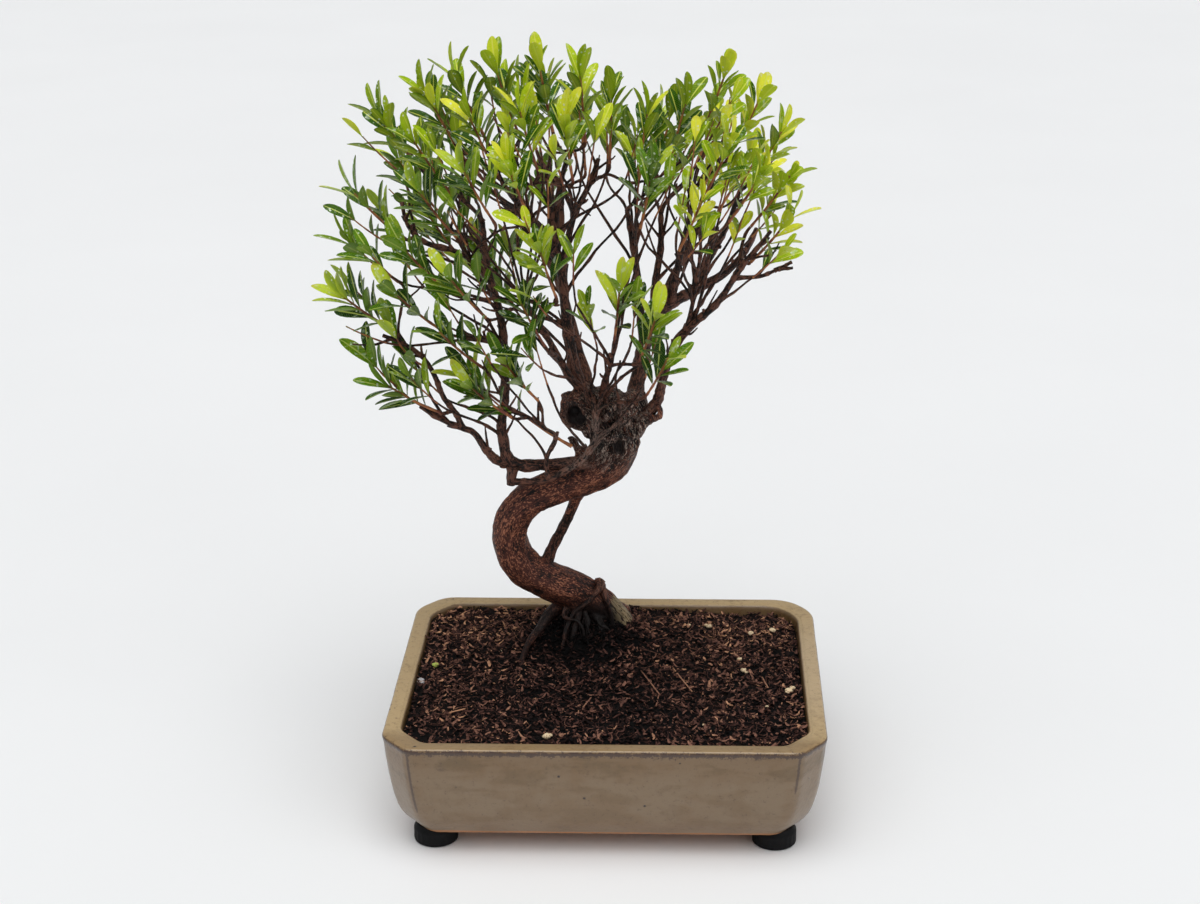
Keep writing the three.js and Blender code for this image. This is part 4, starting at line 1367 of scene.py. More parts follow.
    def finish(
        self,
        colour: object,
        roughness: Value,
        bump: Optional[Shade] = None,
        bump_height: float = 0.1,
        **constants: object,
    ) -> Material:
        """Joins the looks to the shader.

        Args:
            colour: The base colour.
            roughness: The roughness.
            bump: The height of fine relief, 0 to 1.
            bump_height: What 1 is in millimetres.
            **constants: Other sockets of the shader, with _ for a space.

        Returns:
            The material.
        """
        sockets: dict[str, object] = {"Base Color": colour, "Roughness": roughness}
        if bump is not None:
            fine = self.node("ShaderNodeBump", {}, {"Height": bump, "Distance": bump_height * MM})
            sockets["Normal"] = fine.outputs[0]
        sockets.update({key.replace("_", " "): value for key, value in constants.items()})
        self._fill(self.shader, sockets)
        return self.block


@dataclass(frozen=True)
class GlazeFinish:
    """Khaki glaze: streaky, brown at edges where it breaks, pitted, bare clay at the foot, painted
    highlight at the rim's right.
    """

    body: Colour = paint(124, 103, 78)
    warm: Colour = paint(112, 84, 50)
    dusk: Colour = paint(96, 76, 46)
    rim: Colour = paint(184, 157, 114)
    pale: Colour = paint(206, 184, 156)
    groove: Colour = paint(120, 94, 58)
    broken: Colour = paint(58, 36, 26)
    pit: Colour = paint(44, 28, 20)
    clay: Colour = paint(172, 118, 76)

    def material(self) -> Material:
        """Makes the material.

        Returns:
            The material.
        """
        kit = NodeKit("khaki_glaze")
        where = kit.place()
        sideways, depth, height = kit.parts(where)
        height = height / MM
        cloud = kit.noise(where, 24, 4, 0.8)
        bands = kit.noise(kit.stretched(where, (0.3, 0.3, 1)), 110, 4, 0.5)
        runs = kit.noise(kit.stretched(where, (1, 1, 0.25)), 75, 3)
        mottle = kit.noise(where, 330, 4, 0.4)
        speck = kit.noise(where, 1300, 3)
        flow = (cloud * 0.5 + runs * 0.15 + bands * 0.35).step(0.43, 0.57)
        warmth = height.step(48, 71) * 0.75 + height.step(36, 15) * 0.5 + 0.08
        colour = kit.mix(flow * 0.45 + warmth * 0.65, self.body, self.warm)
        dusky = (bands * 0.65 + mottle * 0.2 + cloud * 0.15).step(0.48, 0.62)
        dusky = dusky * (height.step(40, 70) * 0.4 + 0.25)
        colour = kit.mix(dusky, colour, self.dusk)
        on_rim = (height + (mottle - 0.5) * 0.8).step(74.0, 74.6)
        streaky = (mottle * 0.4 + bands * 0.25 + cloud * 0.35).step(0.47, 0.66)
        rim = kit.mix(streaky * 0.45, self.rim, self.groove)
        # Painted highlight: the rim's right end is made paler, as if lit from the right.
        rim = kit.mix(kit.near(where, (128, 6, 75), 24, 96) * 0.3, rim, self.pale)
        rim = kit.mix(depth.step(-0.092, -0.106) * 0.55, rim, self.warm)
        colour = kit.mix(on_rim * 0.94, colour, rim)
        colour = kit.mix((speck * 0.6 + mottle * 0.4).step(0.54, 0.68) * 0.34, colour, self.broken)
        edge = kit.number("edge") + (speck - 0.5) * 1.7 + (mottle - 0.5) * 1.5
        worn = edge.step(0.36, 0.78)
        colour = kit.mix(worn * 0.9, colour, self.broken)
        upper = (height - sideways.step(0, 0.05) * 16).step(26, 34)
        seam = kit.number("seam") * upper * height.step(73, 71)
        colour = kit.mix((seam + (speck - 0.5) * 0.5).step(0.45, 0.75) * 0.75, colour, self.broken)
        distance, luck = kit.cells(where, 85)
        pits = distance.step(0.09, 0.05) * luck.step(0.58, 0.62)
        colour = kit.mix(pits, colour, self.pit)
        stain = kit.near(where, (-94, -104, 62), 0.6, 3.4) * mottle.step(0.4, 0.6)
        colour = kit.mix(stain * 0.6, colour, self.broken)
        bare = (height + (cloud - 0.5) * 2.5).step(15.3, 14.1)
        colour = kit.mix(bare, colour, self.clay)
        roughness = 0.24 + cloud * 0.12 + mottle * 0.08 + bare * 0.45
        relief = cloud * 0.4 + speck * 0.16 + mottle * 0.35 + runs * 0.2 - pits * 0.6
        return kit.finish(colour, roughness, relief, 0.6, Coat_Weight=0.35, Coat_Roughness=0.12)


@dataclass(frozen=True)
class RubberFinish:
    """Black rubber with a dusty bloom."""

    black: Colour = paint(6, 6, 8)
    dust: Colour = paint(26, 25, 27)

    def material(self) -> Material:
        """Makes the material.

        Returns:
            The material.
        """
        kit = NodeKit("black_rubber")
        where = kit.place()
        cloud = kit.noise(where, 140, 4)
        fine = kit.noise(where, 1800, 2)
        dusty = (cloud * 0.7 + fine * 0.3).step(0.5, 0.75)
        colour = kit.mix(dusty * 0.5, self.black, self.dust)
        return kit.finish(colour, 0.5 + cloud * 0.25, fine, 0.08, Specular_IOR_Level=0.2)


@dataclass(frozen=True)
class PlasticFinish:
    """Dull black plastic of the drain mesh, with soil on it."""

    black: Colour = paint(30, 32, 30)
    soiled: Colour = paint(58, 43, 34)

    def material(self) -> Material:
        """Makes the material.

        Returns:
            The material.
        """
        kit = NodeKit("drain_plastic")
        where = kit.place()
        cloud = kit.noise(where, 260, 4)
        colour = kit.mix(cloud.step(0.5, 0.62), self.black, self.soiled)
        return kit.finish(colour, 0.45 + cloud * 0.3, cloud, 0.1)


@dataclass(frozen=True)
class PeatFinish:
    """Moist peat and fibre, near black to red-brown; painted shade under the trunk; each crumb its
    own tone.
    """

    black: Colour = paint(4, 3, 3)
    dark: Colour = paint(30, 18, 16)
    brown: Colour = paint(82, 54, 47)
    light: Colour = paint(136, 96, 80)
    straw: Colour = paint(196, 146, 112)

    def material(self) -> Material:
        """Makes the material.

        Returns:
            The material.
        """
        kit = NodeKit("peat")
        where = kit.place()
        cloud = kit.noise(where, 40, 3)
        grit = kit.noise(where, 800, 4, 0.4)
        tone = kit.number("tone") + (grit - 0.5) * 0.35 + (cloud - 0.5) * 0.4
        # Painted shade: the soil under the trunk's foot is darkened.
        deep = kit.near(where, (-20, 46, 80), 16, 46)
        dull = kit.near(where, (-6, -44, 72), 20, 84)
        pale = kit.near(where, (-92, 76, 72), 8, 62) + kit.near(where, (84, 78, 72), 10, 60) * 0.7
        tone = tone - deep * 0.46 - dull * 0.12 + pale * 0.18
        shades = self.black, self.dark, self.brown, self.light, self.straw
        colour = kit.ramp(tone, *zip((0.06, 0.34, 0.6, 0.84, 1.0), shades))
        return kit.finish(colour, 0.6 + grit * 0.3, grit, 0.6, Specular_IOR_Level=0.12)


@dataclass(frozen=True)
class GrainFinish:
    """Cream and grey mineral grains, and a green bit of leaf: tone is 0, 1 or 2."""

    cream: Colour = paint(228, 204, 166)
    grey: Colour = paint(168, 166, 168)
    green: Colour = paint(170, 186, 84)
    stain: Colour = paint(140, 102, 70)

    def material(self) -> Material:
        """Makes the material.

        Returns:
            The material.
        """
        kit = NodeKit("mineral_grain")
        where = kit.place()
        grit = kit.noise(where, 900, 4)
        tone = kit.number("tone")
        colour = kit.mix(tone.step(0, 1), self.cream, self.grey)
        colour = kit.mix(tone.step(1, 2), colour, self.green)
        colour = kit.mix(grit.step(0.5, 0.66) * 0.8, colour, self.stain)
        return kit.finish(colour, 0.8, grit, 0.3)


@dataclass(frozen=True)
class BarkFinish:
    """Red-brown bark, paler flakes: greyer burl with painted highlights on its strings, mossy foot,
    red when young.

    A hollow is a place painted dark: shade in the burl's holes, at the strut's foot and under the
    trunk's foot, and a darker left root. Each is its x, y and z, where the dark starts to fade and
    ends, and how dark.
    """

    deep: Colour = paint(14, 7, 6)
    brown: Colour = paint(74, 38, 30)
    flake: Colour = paint(188, 122, 92)
    grey: Colour = paint(136, 116, 106)
    pale: Colour = paint(186, 168, 154)
    moss: Colour = paint(160, 142, 108)
    young: Colour = paint(150, 84, 52)
    twig: Colour = paint(108, 70, 56)
    hollows: Array = table_field(
        "4.8 25 213.5 3 6 0.9; -20.5 24 234 5 9.5 0.95; -12 25 221 2 5 0.9; -46 40 111 2 5 0.85;"
        "-43 46 117 4 9 0.8; -18 48 82 12 30 0.92; -6 44 84 8 20 0.9; -10 54 96 3 9 0.6;"
        "-45 46 84 8 18 0.8; -54 22 75 8 18 0.9"
    )

    def material(self) -> Material:
        """Makes the material.

        Returns:
            The material.
        """
        kit = NodeKit("myrtle_bark")
        where = kit.place()
        grain = kit.named("grain").outputs["Vector"]
        age, rise = kit.number("age"), kit.number("rise")
        strips = kit.noise(kit.stretched(grain, (1, 1, 0.22)), 0.8, 5, 0.6)
        plates = kit.noise(kit.stretched(grain, (1, 1, 0.7)), 1.1, 3, 0.5)
        specks = kit.noise(kit.stretched(grain, (1, 1, 0.45)), 1.25, 4, 0.5)
        patches = kit.noise(where, 75, 3)
        # rise, how far the relief moved the surface, darkens the bark where it sinks: painted shade
        # in the fissures and creases.
        height = strips * 0.45 + specks * 0.35 + patches * 0.2 + rise * 0.14
        colour = kit.mix(height.step(0.37, 0.52), self.deep, self.brown)
        flaky = (specks * 0.65 + plates * 0.2 + patches * 0.15 + rise * 0.05).step(0.51, 0.6)
        colour = kit.mix(flaky * 0.68, colour, self.flake)
        burly = kit.near(where, (-2, 32, 226), 18, 36)
        # The burl is greyer on its raised parts: partly its grey bark, partly painted light on the
        # ridges.
        ashen = burly * (plates * 0.5 + specks * 0.3 + rise * 0.45).step(0.46, 0.66)
        strings = kit.noise(kit.stretched(grain, (1, 1, 0.14)), 1.4, 3, 0.5)
        colour = kit.mix(burly * 0.4, colour, self.deep)
        colour = kit.mix(ashen * 0.8, colour, self.grey)
        colour = kit.mix(burly * strings.step(0.54, 0.46) * 0.8, colour, self.deep)
        # Painted highlight: thin pale lines along the burl's strings.
        fibres = kit.noise(kit.stretched(grain, (1, 1, 0.2)), 0.6, 2, 0.4)
        painted_string_highlights = abs(fibres - 0.5).step(0.04, 0.012) * specks.step(0.4, 0.55)
        colour = kit.mix(burly * painted_string_highlights * 0.75, colour, self.pale)
        lip = kit.near(where, (-0.5, 19, 209), 1.2, 4.6)
        colour = kit.mix(lip * 0.8, colour, self.moss)
        strip = kit.near(where, (5, 58, 90), 5, 15) + (plates - 0.5) * 1.2 + (specks - 0.5) * 0.8
        crust = kit.mix(strips.step(0.38, 0.54), self.deep, self.moss)
        colour = kit.mix(strip.step(0.35, 0.6) * 0.85, colour, crust)
        # Grey flecks near the top of the left root.
        grey_root_flecks = kit.near(where, (-45, 48, 86), 3, 18) * specks.step(0.48, 0.58)
        colour = kit.mix(grey_root_flecks * 0.5, colour, self.grey)
        # rise also makes the slim wood darker where its surface dips, as painted shade.
        barky = (strips * 0.4 + specks * 0.6 + rise * 0.15).step(0.44, 0.64)
        slim = kit.mix(barky, self.deep, self.twig)
        ashen = kit.near(where, (-8, 16, 216), 14, 36) * specks.step(0.4, 0.6)
        slim = kit.mix(ashen * 0.6, slim, self.grey)
        slim = kit.mix(age.step(0.34, 0.06), slim, self.young)
        colour = kit.mix(age.step(0.62, 0.9), slim, colour)
        # Painted shade in the burl's holes, at the strut's foot and under the trunk's foot; the
        # last two rows darken the left root.
        for x, y, z, inner, outer, share in self.hollows:
            spot = (x, y, z)
            colour = kit.mix(kit.near(where, spot, inner, outer) * share, colour, self.deep)
        relief = strips * 0.5 + plates * 0.25 + specks * 0.5
        roughness = 0.36 + specks * 0.4
        return kit.finish(colour, roughness, relief, 1.2, Specular_IOR_Level=0.25)


@dataclass(frozen=True)
class StemFinish:
    """Young stems, orange-brown and a little glossy."""

    orange: Colour = paint(172, 108, 58)
    red: Colour = paint(118, 60, 42)
    green: Colour = paint(136, 128, 52)

    def material(self) -> Material:
        """Makes the material.

        Returns:
            The material.
        """
        kit = NodeKit("young_stem")
        grain = kit.named("blade").outputs["Vector"]
        _, share, _ = kit.parts(grain)
        cloud = kit.noise(kit.place(), 160, 3)
        fine = kit.noise(kit.place(), 1400, 2)
        colour = kit.mix(cloud.step(0.4, 0.6), self.red, self.orange)
        colour = kit.mix(share.step(0.75, 1.05) * 0.6, colour, self.green)
        return kit.finish(colour, 0.45 + fine * 0.2, fine, 0.12)


class LeafAge(Enum):
    """How old the leaves of a spray are."""

    YOUNG = "young_leaf"
    MATURE = "mature_leaf"


@dataclass(frozen=True)
class LeafFinish:
    """Glossy leaves: pale rib, fine side veins, paler backs, yellow tips, painted reflections and
    water spots with painted glints.
    """

    age: LeafAge
    dark: Colour
    middle: Colour
    light: Colour
    back: Colour
    rib: Colour
    tip: Colour = paint(206, 196, 74)
    # spot is the pale colour of the water spots and of the painted reflections.
    spot: Colour = paint(236, 246, 226)

    def material(self) -> Material:
        """Makes the material.

        Returns:
            The material.
        """
        kit = NodeKit(self.age.value)
        where = kit.place()
        across, along, side = kit.parts(kit.named("blade").outputs["Vector"])
        tone = kit.number("tone")
        cloud = kit.noise(where, 130, 3)
        fine = kit.noise(where, 1100, 3)
        mixed = tone * 0.92 + (cloud - 0.5) * 0.34 + (fine - 0.5) * 0.3 + 0.04
        colour = kit.ramp(mixed, (0.12, self.dark), (0.5, self.middle), (0.95, self.light))
        slant = (along * 15 + abs(across) * 2.1) * FULL_TURN
        veins = slant.sine().step(0.6, 1.0) * abs(across).step(0.05, 0.2)
        colour = kit.mix(veins * 0.18, colour, self.rib)
        rib = abs(across).step(0.17, 0.05)
        colour = kit.mix(rib * 0.9, colour, self.rib)
        yellow = along.step(0.78, 1.0) * tone.step(0.6, 1.0)
        colour = kit.mix(yellow * 0.7, colour, self.tip)
        colour = kit.mix(side.step(0.1, -0.6) * 0.6, colour, self.back)
        distance, luck = kit.cells(where, 420)
        # Painted reflection: pale patches on the leaves' upper sides.
        painted_reflection = kit.noise(where, 210, 3, 0.6).step(0.57, 0.68) * side.step(0, 0.5)
        colour = kit.mix(painted_reflection * 0.36, colour, self.spot)
        # Water spots: partly real marks, partly painted glints of droplets.
        spots = distance.step(0.36, 0.2) * luck.step(0.54, 0.62) * cloud.step(0.44, 0.54)
        colour = kit.mix(spots * 0.85, colour, self.spot)
        roughness = 0.2 + cloud * 0.2 - spots * 0.1
        relief = 0.6 - rib * 0.6 - veins * 0.3 + spots * 0.5 + fine * 0.14
        return kit.finish(
            colour,
            roughness,
            relief,
            0.2,
            Specular_IOR_Level=0.14,
            Subsurface_Weight=0.06,
            Subsurface_Radius=(0.5, 1.0, 0.15),
            Subsurface_Scale=0.0012,
        )


MATURE_LEAVES = LeafFinish(
    LeafAge.MATURE,
    dark=paint(18, 56, 4),
    middle=paint(86, 131, 8),
    light=paint(202, 218, 54),
    back=paint(132, 158, 70),
    rib=paint(196, 208, 104),
)
YOUNG_LEAVES = LeafFinish(
    LeafAge.YOUNG,
    dark=paint(40, 88, 2),
    middle=paint(158, 190, 2),
    light=paint(242, 240, 64),
    back=paint(182, 200, 56),
    rib=paint(226, 230, 100),
)


@dataclass(frozen=True)
class FloorFinish:
    """A plain pale floor with the faintest clouding."""

    pale: Colour = paint(238, 238, 238)
    paler: Colour = paint(243, 243, 243)

    def material(self) -> Material:
        """Makes the material.

        Returns:
            The material.
        """
        kit = NodeKit("pale_floor")
        cloud = kit.noise(kit.place(), 3, 3)
        return kit.finish(kit.mix(cloud, self.pale, self.paler), 0.55, Specular_IOR_Level=0.25)


@dataclass
class Pot:
    """The glazed pot: a rectangle with cut, softened corners, a flat rim and two drain holes."""

    length: float = 260.0
    depth: float = 215.0
    corner_x: float = 16.0
    corner_y: float = 18.5
    corner_fade: float = 90.0
    softness: tuple[float, ...] = (5.2, 11.0, 11.0, 8.0, 8.0, 5.2, 5.2, 5.2)
    drain_x: float = 52.0
    drain_radius: float = 11.0
    drain_cut: tuple[float, float] = (5.0, 30.0)
    drain_sides: int = 40
    unevenness: float = 0.32
    corner_points: int = 9
    side_points: tuple[int, ...] = (16, 5, 22, 5, 16, 5, 22, 5)
    section: Array = table_field(
        "19 12; 17 12; 15.9 12.2; 14.9 13; 14 14; 12.2 16.2; 10.2 19; 8.4 22.4; 7 26; 5.7 31;"
        "  4.6 36; 3.6 42; 2.8 48; 2.1 54; 1.4 60; 1 65; 0.7 69; 0.3 71.4; 0.05 72.6; 0 73.4;"
        "  0.25 74.1; 0.8 74.7; 1.6 75; 3 75; 5.2 74.9; 7.2 74.8; 8 74.7; 8.4 74.45; 8.8 74.55;"
        "  9.6 74.5; 10.3 74.1; 10.8 73.3; 11 72; 11.4 68; 12 62; 12.8 54; 14 45; 15.5 36;"
        "  17.5 28; 19.5 23.5; 22 20.6; 25 20"
    )

    def outline(self, inset: Array, height: Array) -> tuple[Array, Array]:
        """Rings round the pot, each inset from the rim's edge.

        A corner's curve is (1-t)^2 a + 2(1-t) t p + t^2 b, where p is the sharp corner and a and b
        lie its softness before and after it. Straight sides join the curves. The whole is a little
        out of square, with its right end further back.

        Args:
            inset: The inset of each ring, (n).
            height: The height of each ring, (n).

        Returns:
            The rings, (n, points, 3), and how near each point is to a corner's line, (points).
        """
        half_x, half_y = self.length / 2 - inset, self.depth / 2 - inset
        shrink = 1 - inset / self.corner_fade
        cut_x, cut_y = self.corner_x * shrink, self.corner_y * shrink
        near_x, near_y = half_x - cut_x, half_y - cut_y
        xs = [half_x, half_x, near_x, -near_x, -half_x, -half_x, -near_x, near_x]
        ys = [-near_y, near_y, half_y, half_y, near_y, -near_y, -half_y, -half_y]
        sharp = np.moveaxis(np.array([xs, ys]), 0, -1)
        ahead = unit(np.roll(sharp, -1, axis=0) - sharp)
        behind = unit(sharp - np.roll(sharp, 1, axis=0))
        soft = np.array(self.softness)[:, None, None] * shrink[:, None]
        leave, reach = sharp + ahead * soft, sharp - behind * soft
        t = np.linspace(0, 1, self.corner_points)[:, None, None, None]
        curves = (1 - t) ** 2 * reach + 2 * (1 - t) * t * sharp + t**2 * leave
        next_reach = np.roll(reach, -1, axis=0)
        parts, marks = [], []
        peak = np.maximum(0, 1 - np.abs(np.linspace(-1, 1, self.corner_points)) * 2.2)
        for corner, count in enumerate(self.side_points):
            parts.append(curves[:, corner])
            share = (np.arange(1, count + 1) / (count + 1))[:, None, None]
            parts.append(leave[corner] * (1 - share) + next_reach[corner] * share)
            marks += [peak, np.zeros(count)]
        flat = self.skewed(np.moveaxis(np.concatenate(parts), 0, 1))
        levels = np.broadcast_to(height[:, None, None], flat.shape[:2] + (1,))
        return np.concatenate([flat, levels], axis=-1), np.concatenate(marks)

    def skewed(self, flat: Array) -> Array:
        """Places moved back by s (1/2 + x/length)."""
        x, y = flat[..., 0], flat[..., 1]
        return np.stack([x, y + POT_SKEW * (0.5 + x / self.length)], axis=-1)

    def build(self, glaze: Material) -> None:
        """Makes the pot and cuts its drain holes.

        Args:
            glaze: Its material.
        """
        inset, height = self.section[:, 0], self.section[:, 1]
        rings, corner = self.outline(inset, height)
        sway = Relief(11).layered(rings, (34, 13), (self.unevenness, self.unevenness / 2))
        outward = unit(rings[..., :2] * np.array([1, 1.2]))
        rings[..., :2] -= outward * (np.abs(sway) * (inset < 20)[:, None])[..., None]
        lip = np.exp(-(((height - 72.7) / 1.7) ** 2)) * (inset < 1.5)
        edge = np.broadcast_to(lip[:, None], rings.shape[:2])
        seam = corner * (inset < 6)[:, None]
        skin = Skin()
        skin.add_tubes(rings[None], {"edge": edge[None], "seam": seam[None]})
        pot = skin.make("glazed_pot", [glaze], sharp=60)
        cutters = [self._cut_drain(pot, side) for side in (-1, 1)]
        settled(pot)
        for cutter in cutters:
            bpy.data.objects.remove(cutter)
        seated(pot, "pot")

    def _cut_drain(self, pot: Piece, side: int) -> Piece:
        """Adds a drain hole's cutter to the pot.

        Args:
            pot: The pot.
            side: -1 for the left hole and 1 for the right one.

        Returns:
            The cutter.
        """
        angle = np.arange(self.drain_sides) * FULL_TURN / self.drain_sides
        circle = np.stack([np.cos(angle), np.sin(angle), 0 * angle], axis=-1) * self.drain_radius
        heights = np.array(self.drain_cut)[:, None, None] * UP
        rings = circle + np.array([side * self.drain_x, 0, 0]) + heights
        skin = Skin()
        skin.add_tubes(rings[None], {})
        cutter = skin.make("drain_cutter", [])
        cut = pot.modifiers.new("drain", "BOOLEAN")
        cut.operation, cut.solver, cut.object = "DIFFERENCE", "EXACT", cutter
        return cutter


@dataclass
class Feet:
    """Four black plug feet: short cylinders with soft edges, fine ribs and a tapered top."""

    radius: float = 13.2
    ribs: int = 22
    rib_depth: float = 0.16
    sides: int = 88
    section: Array = table_field(
        "-5 0; -1.6 0; -0.7 0.12; -0.15 0.5; 0 1.1; 0 2; 0 4; 0 6; 0 7.6; -0.12 8.3; -0.5 9;"
        "  -1 10.2; -1.5 11.4; -1.8 11.85; -2.6 12; -6 12"
    )

    def build(self, rubber: Material) -> None:
        """Makes the feet: radius + section - ribs cos(22 a), where the wall is upright.

        Args:
            rubber: Their material.
        """
        angle = np.arange(self.sides) * FULL_TURN / self.sides
        upright = ((self.section[:, 1] > 1) & (self.section[:, 1] < 8)).astype(float)
        ribs = self.rib_depth * (1 + np.cos(self.ribs * angle)) * upright[:, None]
        reach = self.radius + self.section[:, :1] - ribs
        height = np.broadcast_to(self.section[:, 1:], reach.shape)
        for place in ("front_left", "front_right", "back_left", "back_right"):
            low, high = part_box(f"pot_foot_{place}")
            x, y = ((low[i] + high[i]) / 2 / MM - PotFrame.centre[i] for i in (0, 1))
            across = x + reach * np.cos(angle), y + reach * np.sin(angle)
            skin = Skin()
            skin.add_tubes(np.stack([*across, height], axis=-1)[None], {})
            foot = skin.make(f"plug_foot_{place}", [rubber], sharp=50)
            seated(foot, f"pot_foot_{place}")


@dataclass
class Bed:
    """The soil: fine relief, crumbs of peat, fibres, straws and mineral grains.

    A mound is its x, y, height and width, a wall ring its inset and height, a straw its x, y,
    length and heading, and a grain its x, y, radius and kind.
    """

    pot: Pot
    level: float = 71.8
    low_corner_drop: float = 4.0
    low_corner_start: float = 0.25
    mounds: Array = table_field("-8 60 10 36; -16 57 7 18")
    edge_inset: float = 11.7
    edge_drop: float = 0.8
    points_round: int = 620
    ring_count: int = 96
    wall_rings: Array = table_field("25 21.5; 21.5 23.5; 16.5 36; 13.2 55")
    chips: int = 5000
    crumbs: int = 9000
    heaped: int = 800
    fibres: int = 1300
    flatness: float = 0.6
    straws: Array = table_field(
        "25.5 -13.3 36 -1.23; 45.1 -8.5 35 -1.23; 30.2 -36.8 16 -1.66; 95.7 -9.5 16 -1.38;"
        "-12 -41 12 1.2; -89 -55 10 0.4"
    )
    grain_places: Array = table_field(
        "-34 -83 2.2 0; -32 -82 1.4 0; 110 -19 2.1 0; 112 -17 1.5 0; 109 -21 1.2 0; 89 65 1.8 0;"
        "  103 71 1.8 0; 81 26 1.4 0; 83 10 1.6 0; 85 9 1 0; 62 75 1.7 0; 60 76 1 0; 49 75 1.2 0;"
        "  -115.4 -15 2.1 1; -114.6 -18 1.5 1; -109 9 1.8 2; -70 30 0.8 0; 58 -66 0.9 0;"
        "  96 -40 0.8 0"
    )

    def height(self, x: Array, y: Array) -> Array:
        """The soil's height before its crumbs: level, mounded round the tree, low at one corner.

        Each mound adds h exp(-(d/w)^2) at a distance d from its centre.

        Args:
            x: Places from left to right.
            y: Places from front to back.

        Returns:
            The height at each place.
        """
        towards = x / self.pot.length + y / self.pot.depth - self.low_corner_start
        drop = self.low_corner_drop * np.maximum(0, towards)
        total = self.level - drop
        for centre_x, centre_y, high, wide in self.mounds:
            total = total + high * np.exp(-((x - centre_x) ** 2 + (y - centre_y) ** 2) / wide**2)
        return total

    def relief(self, x: Array, y: Array) -> Array:
        """Lumps from 16 mm down to 1.3 mm across.

        Args:
            x: Places from left to right.
            y: Places from front to back.

        Returns:
            How far the soil stands over its plain height at each place.
        """
        flat = np.stack([x, y, np.zeros_like(x)], axis=-1)
        coarse = Relief(21).layered(flat, (16, 7, 3.4), (0.8, 0.9, 0.9))
        fine = np.abs(Relief(22).layered(flat, (2.1, 1.3), (0.7, 0.4)))
        return coarse + fine - 0.8

    def _edge(self, inset: float, share: Array) -> Array:
        """Points on an inset outline, picked by their share of its points.

        Args:
            inset: The inset from the rim's edge.
            share: The shares, (n).

        Returns:
            The points, (n, 2).
        """
        ring, _ = self.pot.outline(np.array([inset]), np.array([0.0]))
        ring = ring[0, :, :2]
        closed = np.vstack([ring, ring[:1]])
        spot, whole = share * len(ring), np.arange(len(closed))
        return np.stack([np.interp(spot, whole, closed[:, k]) for k in (0, 1)], axis=-1)

    def build(self, peat: Material, mineral: Material) -> None:
        """Makes the soil's pieces.

        Args:
            peat: The material of peat.
            mineral: The material of the grains.
        """
        self._block(peat)
        self._crumbs(peat)
        self._fibres(peat)
        self._grains(mineral)

    def _block(self, peat: Material) -> None:
        """The soil's body: rings that shrink from the pot's inner wall to the middle.

        Ring k is the outline at its inset, scaled by (1 - k/n), so that rows of equal width run
        round the bed. Under the edge it follows the pot's inner wall down.

        Args:
            peat: The material of peat.
        """
        around = np.arange(self.points_round) / self.points_round
        edge = self._edge(self.edge_inset, around)
        scale = np.linspace(1, 0, self.ring_count)[:-1]
        top = edge * scale[:, None, None]
        height = self.height(top[..., 0], top[..., 1]) + self.relief(top[..., 0], top[..., 1])
        height[0] -= self.edge_drop
        surface = np.concatenate([top, height[..., None]], axis=-1)
        walls = []
        for inset, level in self.wall_rings:
            ring = self._edge(inset, around)
            walls.append(np.concatenate([ring, np.full((len(ring), 1), level)], axis=-1))
        rings = np.concatenate([np.array(walls), surface])
        # The body's tone is kept near black: partly the dark peat's own colour, partly painted
        # shade in the gaps between the crumbs.
        tone = 0.06 + 0.16 * Relief(23).layered(rings, (9, 2.2), (1, 0.8))
        skin = Skin()
        skin.add_tubes(rings[None], {"tone": tone[None]})
        seated(skin.make("soil_bed", [peat]), "soil")

    def _inside(self, draws: np.random.Generator, count: int, margin: float) -> Array:
        """Random places on the bed, a margin away from its edge.

        Args:
            draws: Random numbers.
            count: How many places there may be.
            margin: The distance to keep from the edge.

        Returns:
            The places, (n, 2).
        """
        half_x, half_y = self.pot.length / 2 - 11 - margin, self.pot.depth / 2 - 11 - margin
        spots = draws.uniform(-1, 1, (count * 2, 2)) * np.array([half_x, half_y])
        cut = np.abs(spots[:, 0]) / half_x + np.abs(spots[:, 1]) / half_y
        limit = 2 - 13.5 / half_x
        return self.pot.skewed(spots[cut < limit][:count])

    def _scatter(
        self,
        draws: np.random.Generator,
        places: Array,
        length: Array,
        radius: Array,
        shape: tuple[int, int],
        rise: Union[Array, float],
        tilt: float,
        bend: float,
    ) -> tuple[Array, Array]:
        """Short bent sticks that lie on the bed.

        A stick's centre line is c + (t - 1/2) L d + bend L (t - 1/2)^2 s, with its direction d
        nearly level and s at random across it. Its radius is full in the middle.

        Args:
            draws: Random numbers.
            places: Their centres, (n, 2).
            length: Their lengths, (n).
            radius: Their radii, (n).
            shape: Rings and sides.
            rise: How far their centres stand over the bed, as a share of their radius.
            tilt: Their greatest slope.
            bend: Their greatest bend, as a share of their length.

        Returns:
            Ring points, (n, rings, sides, 3), and end points, (n, 2, 3).
        """
        count = len(places)
        heading, slope = draws.uniform(0, FULL_TURN, count), draws.uniform(-tilt, tilt, count)
        x, y = places.T
        z = self.height(x, y) + self.relief(x, y) + rise * radius
        centre = np.stack([x, y, z], axis=-1)
        way = np.stack([np.cos(heading), np.sin(heading), slope], axis=-1)
        level = np.stack([-np.sin(heading), np.cos(heading), np.zeros(count)], axis=-1)
        lift = np.cross(way, level)
        t = np.linspace(0.08, 0.92, shape[0])[None, :, None] - 0.5
        side = level * draws.uniform(-1, 1, (count, 1)) + lift * draws.uniform(0, 0.4, (count, 1))
        arc = (side * bend * length[:, None])[:, None] * t**2 * 4
        line = centre[:, None] + way[:, None] * t * length[:, None, None] + arc
        angle = np.arange(shape[1]) * FULL_TURN / shape[1]
        swell = 0.45 + 0.55 * np.cos(np.pi * t[..., 0] * 0.9)
        uneven = draws.uniform(0.7, 1.2, (count, *shape))
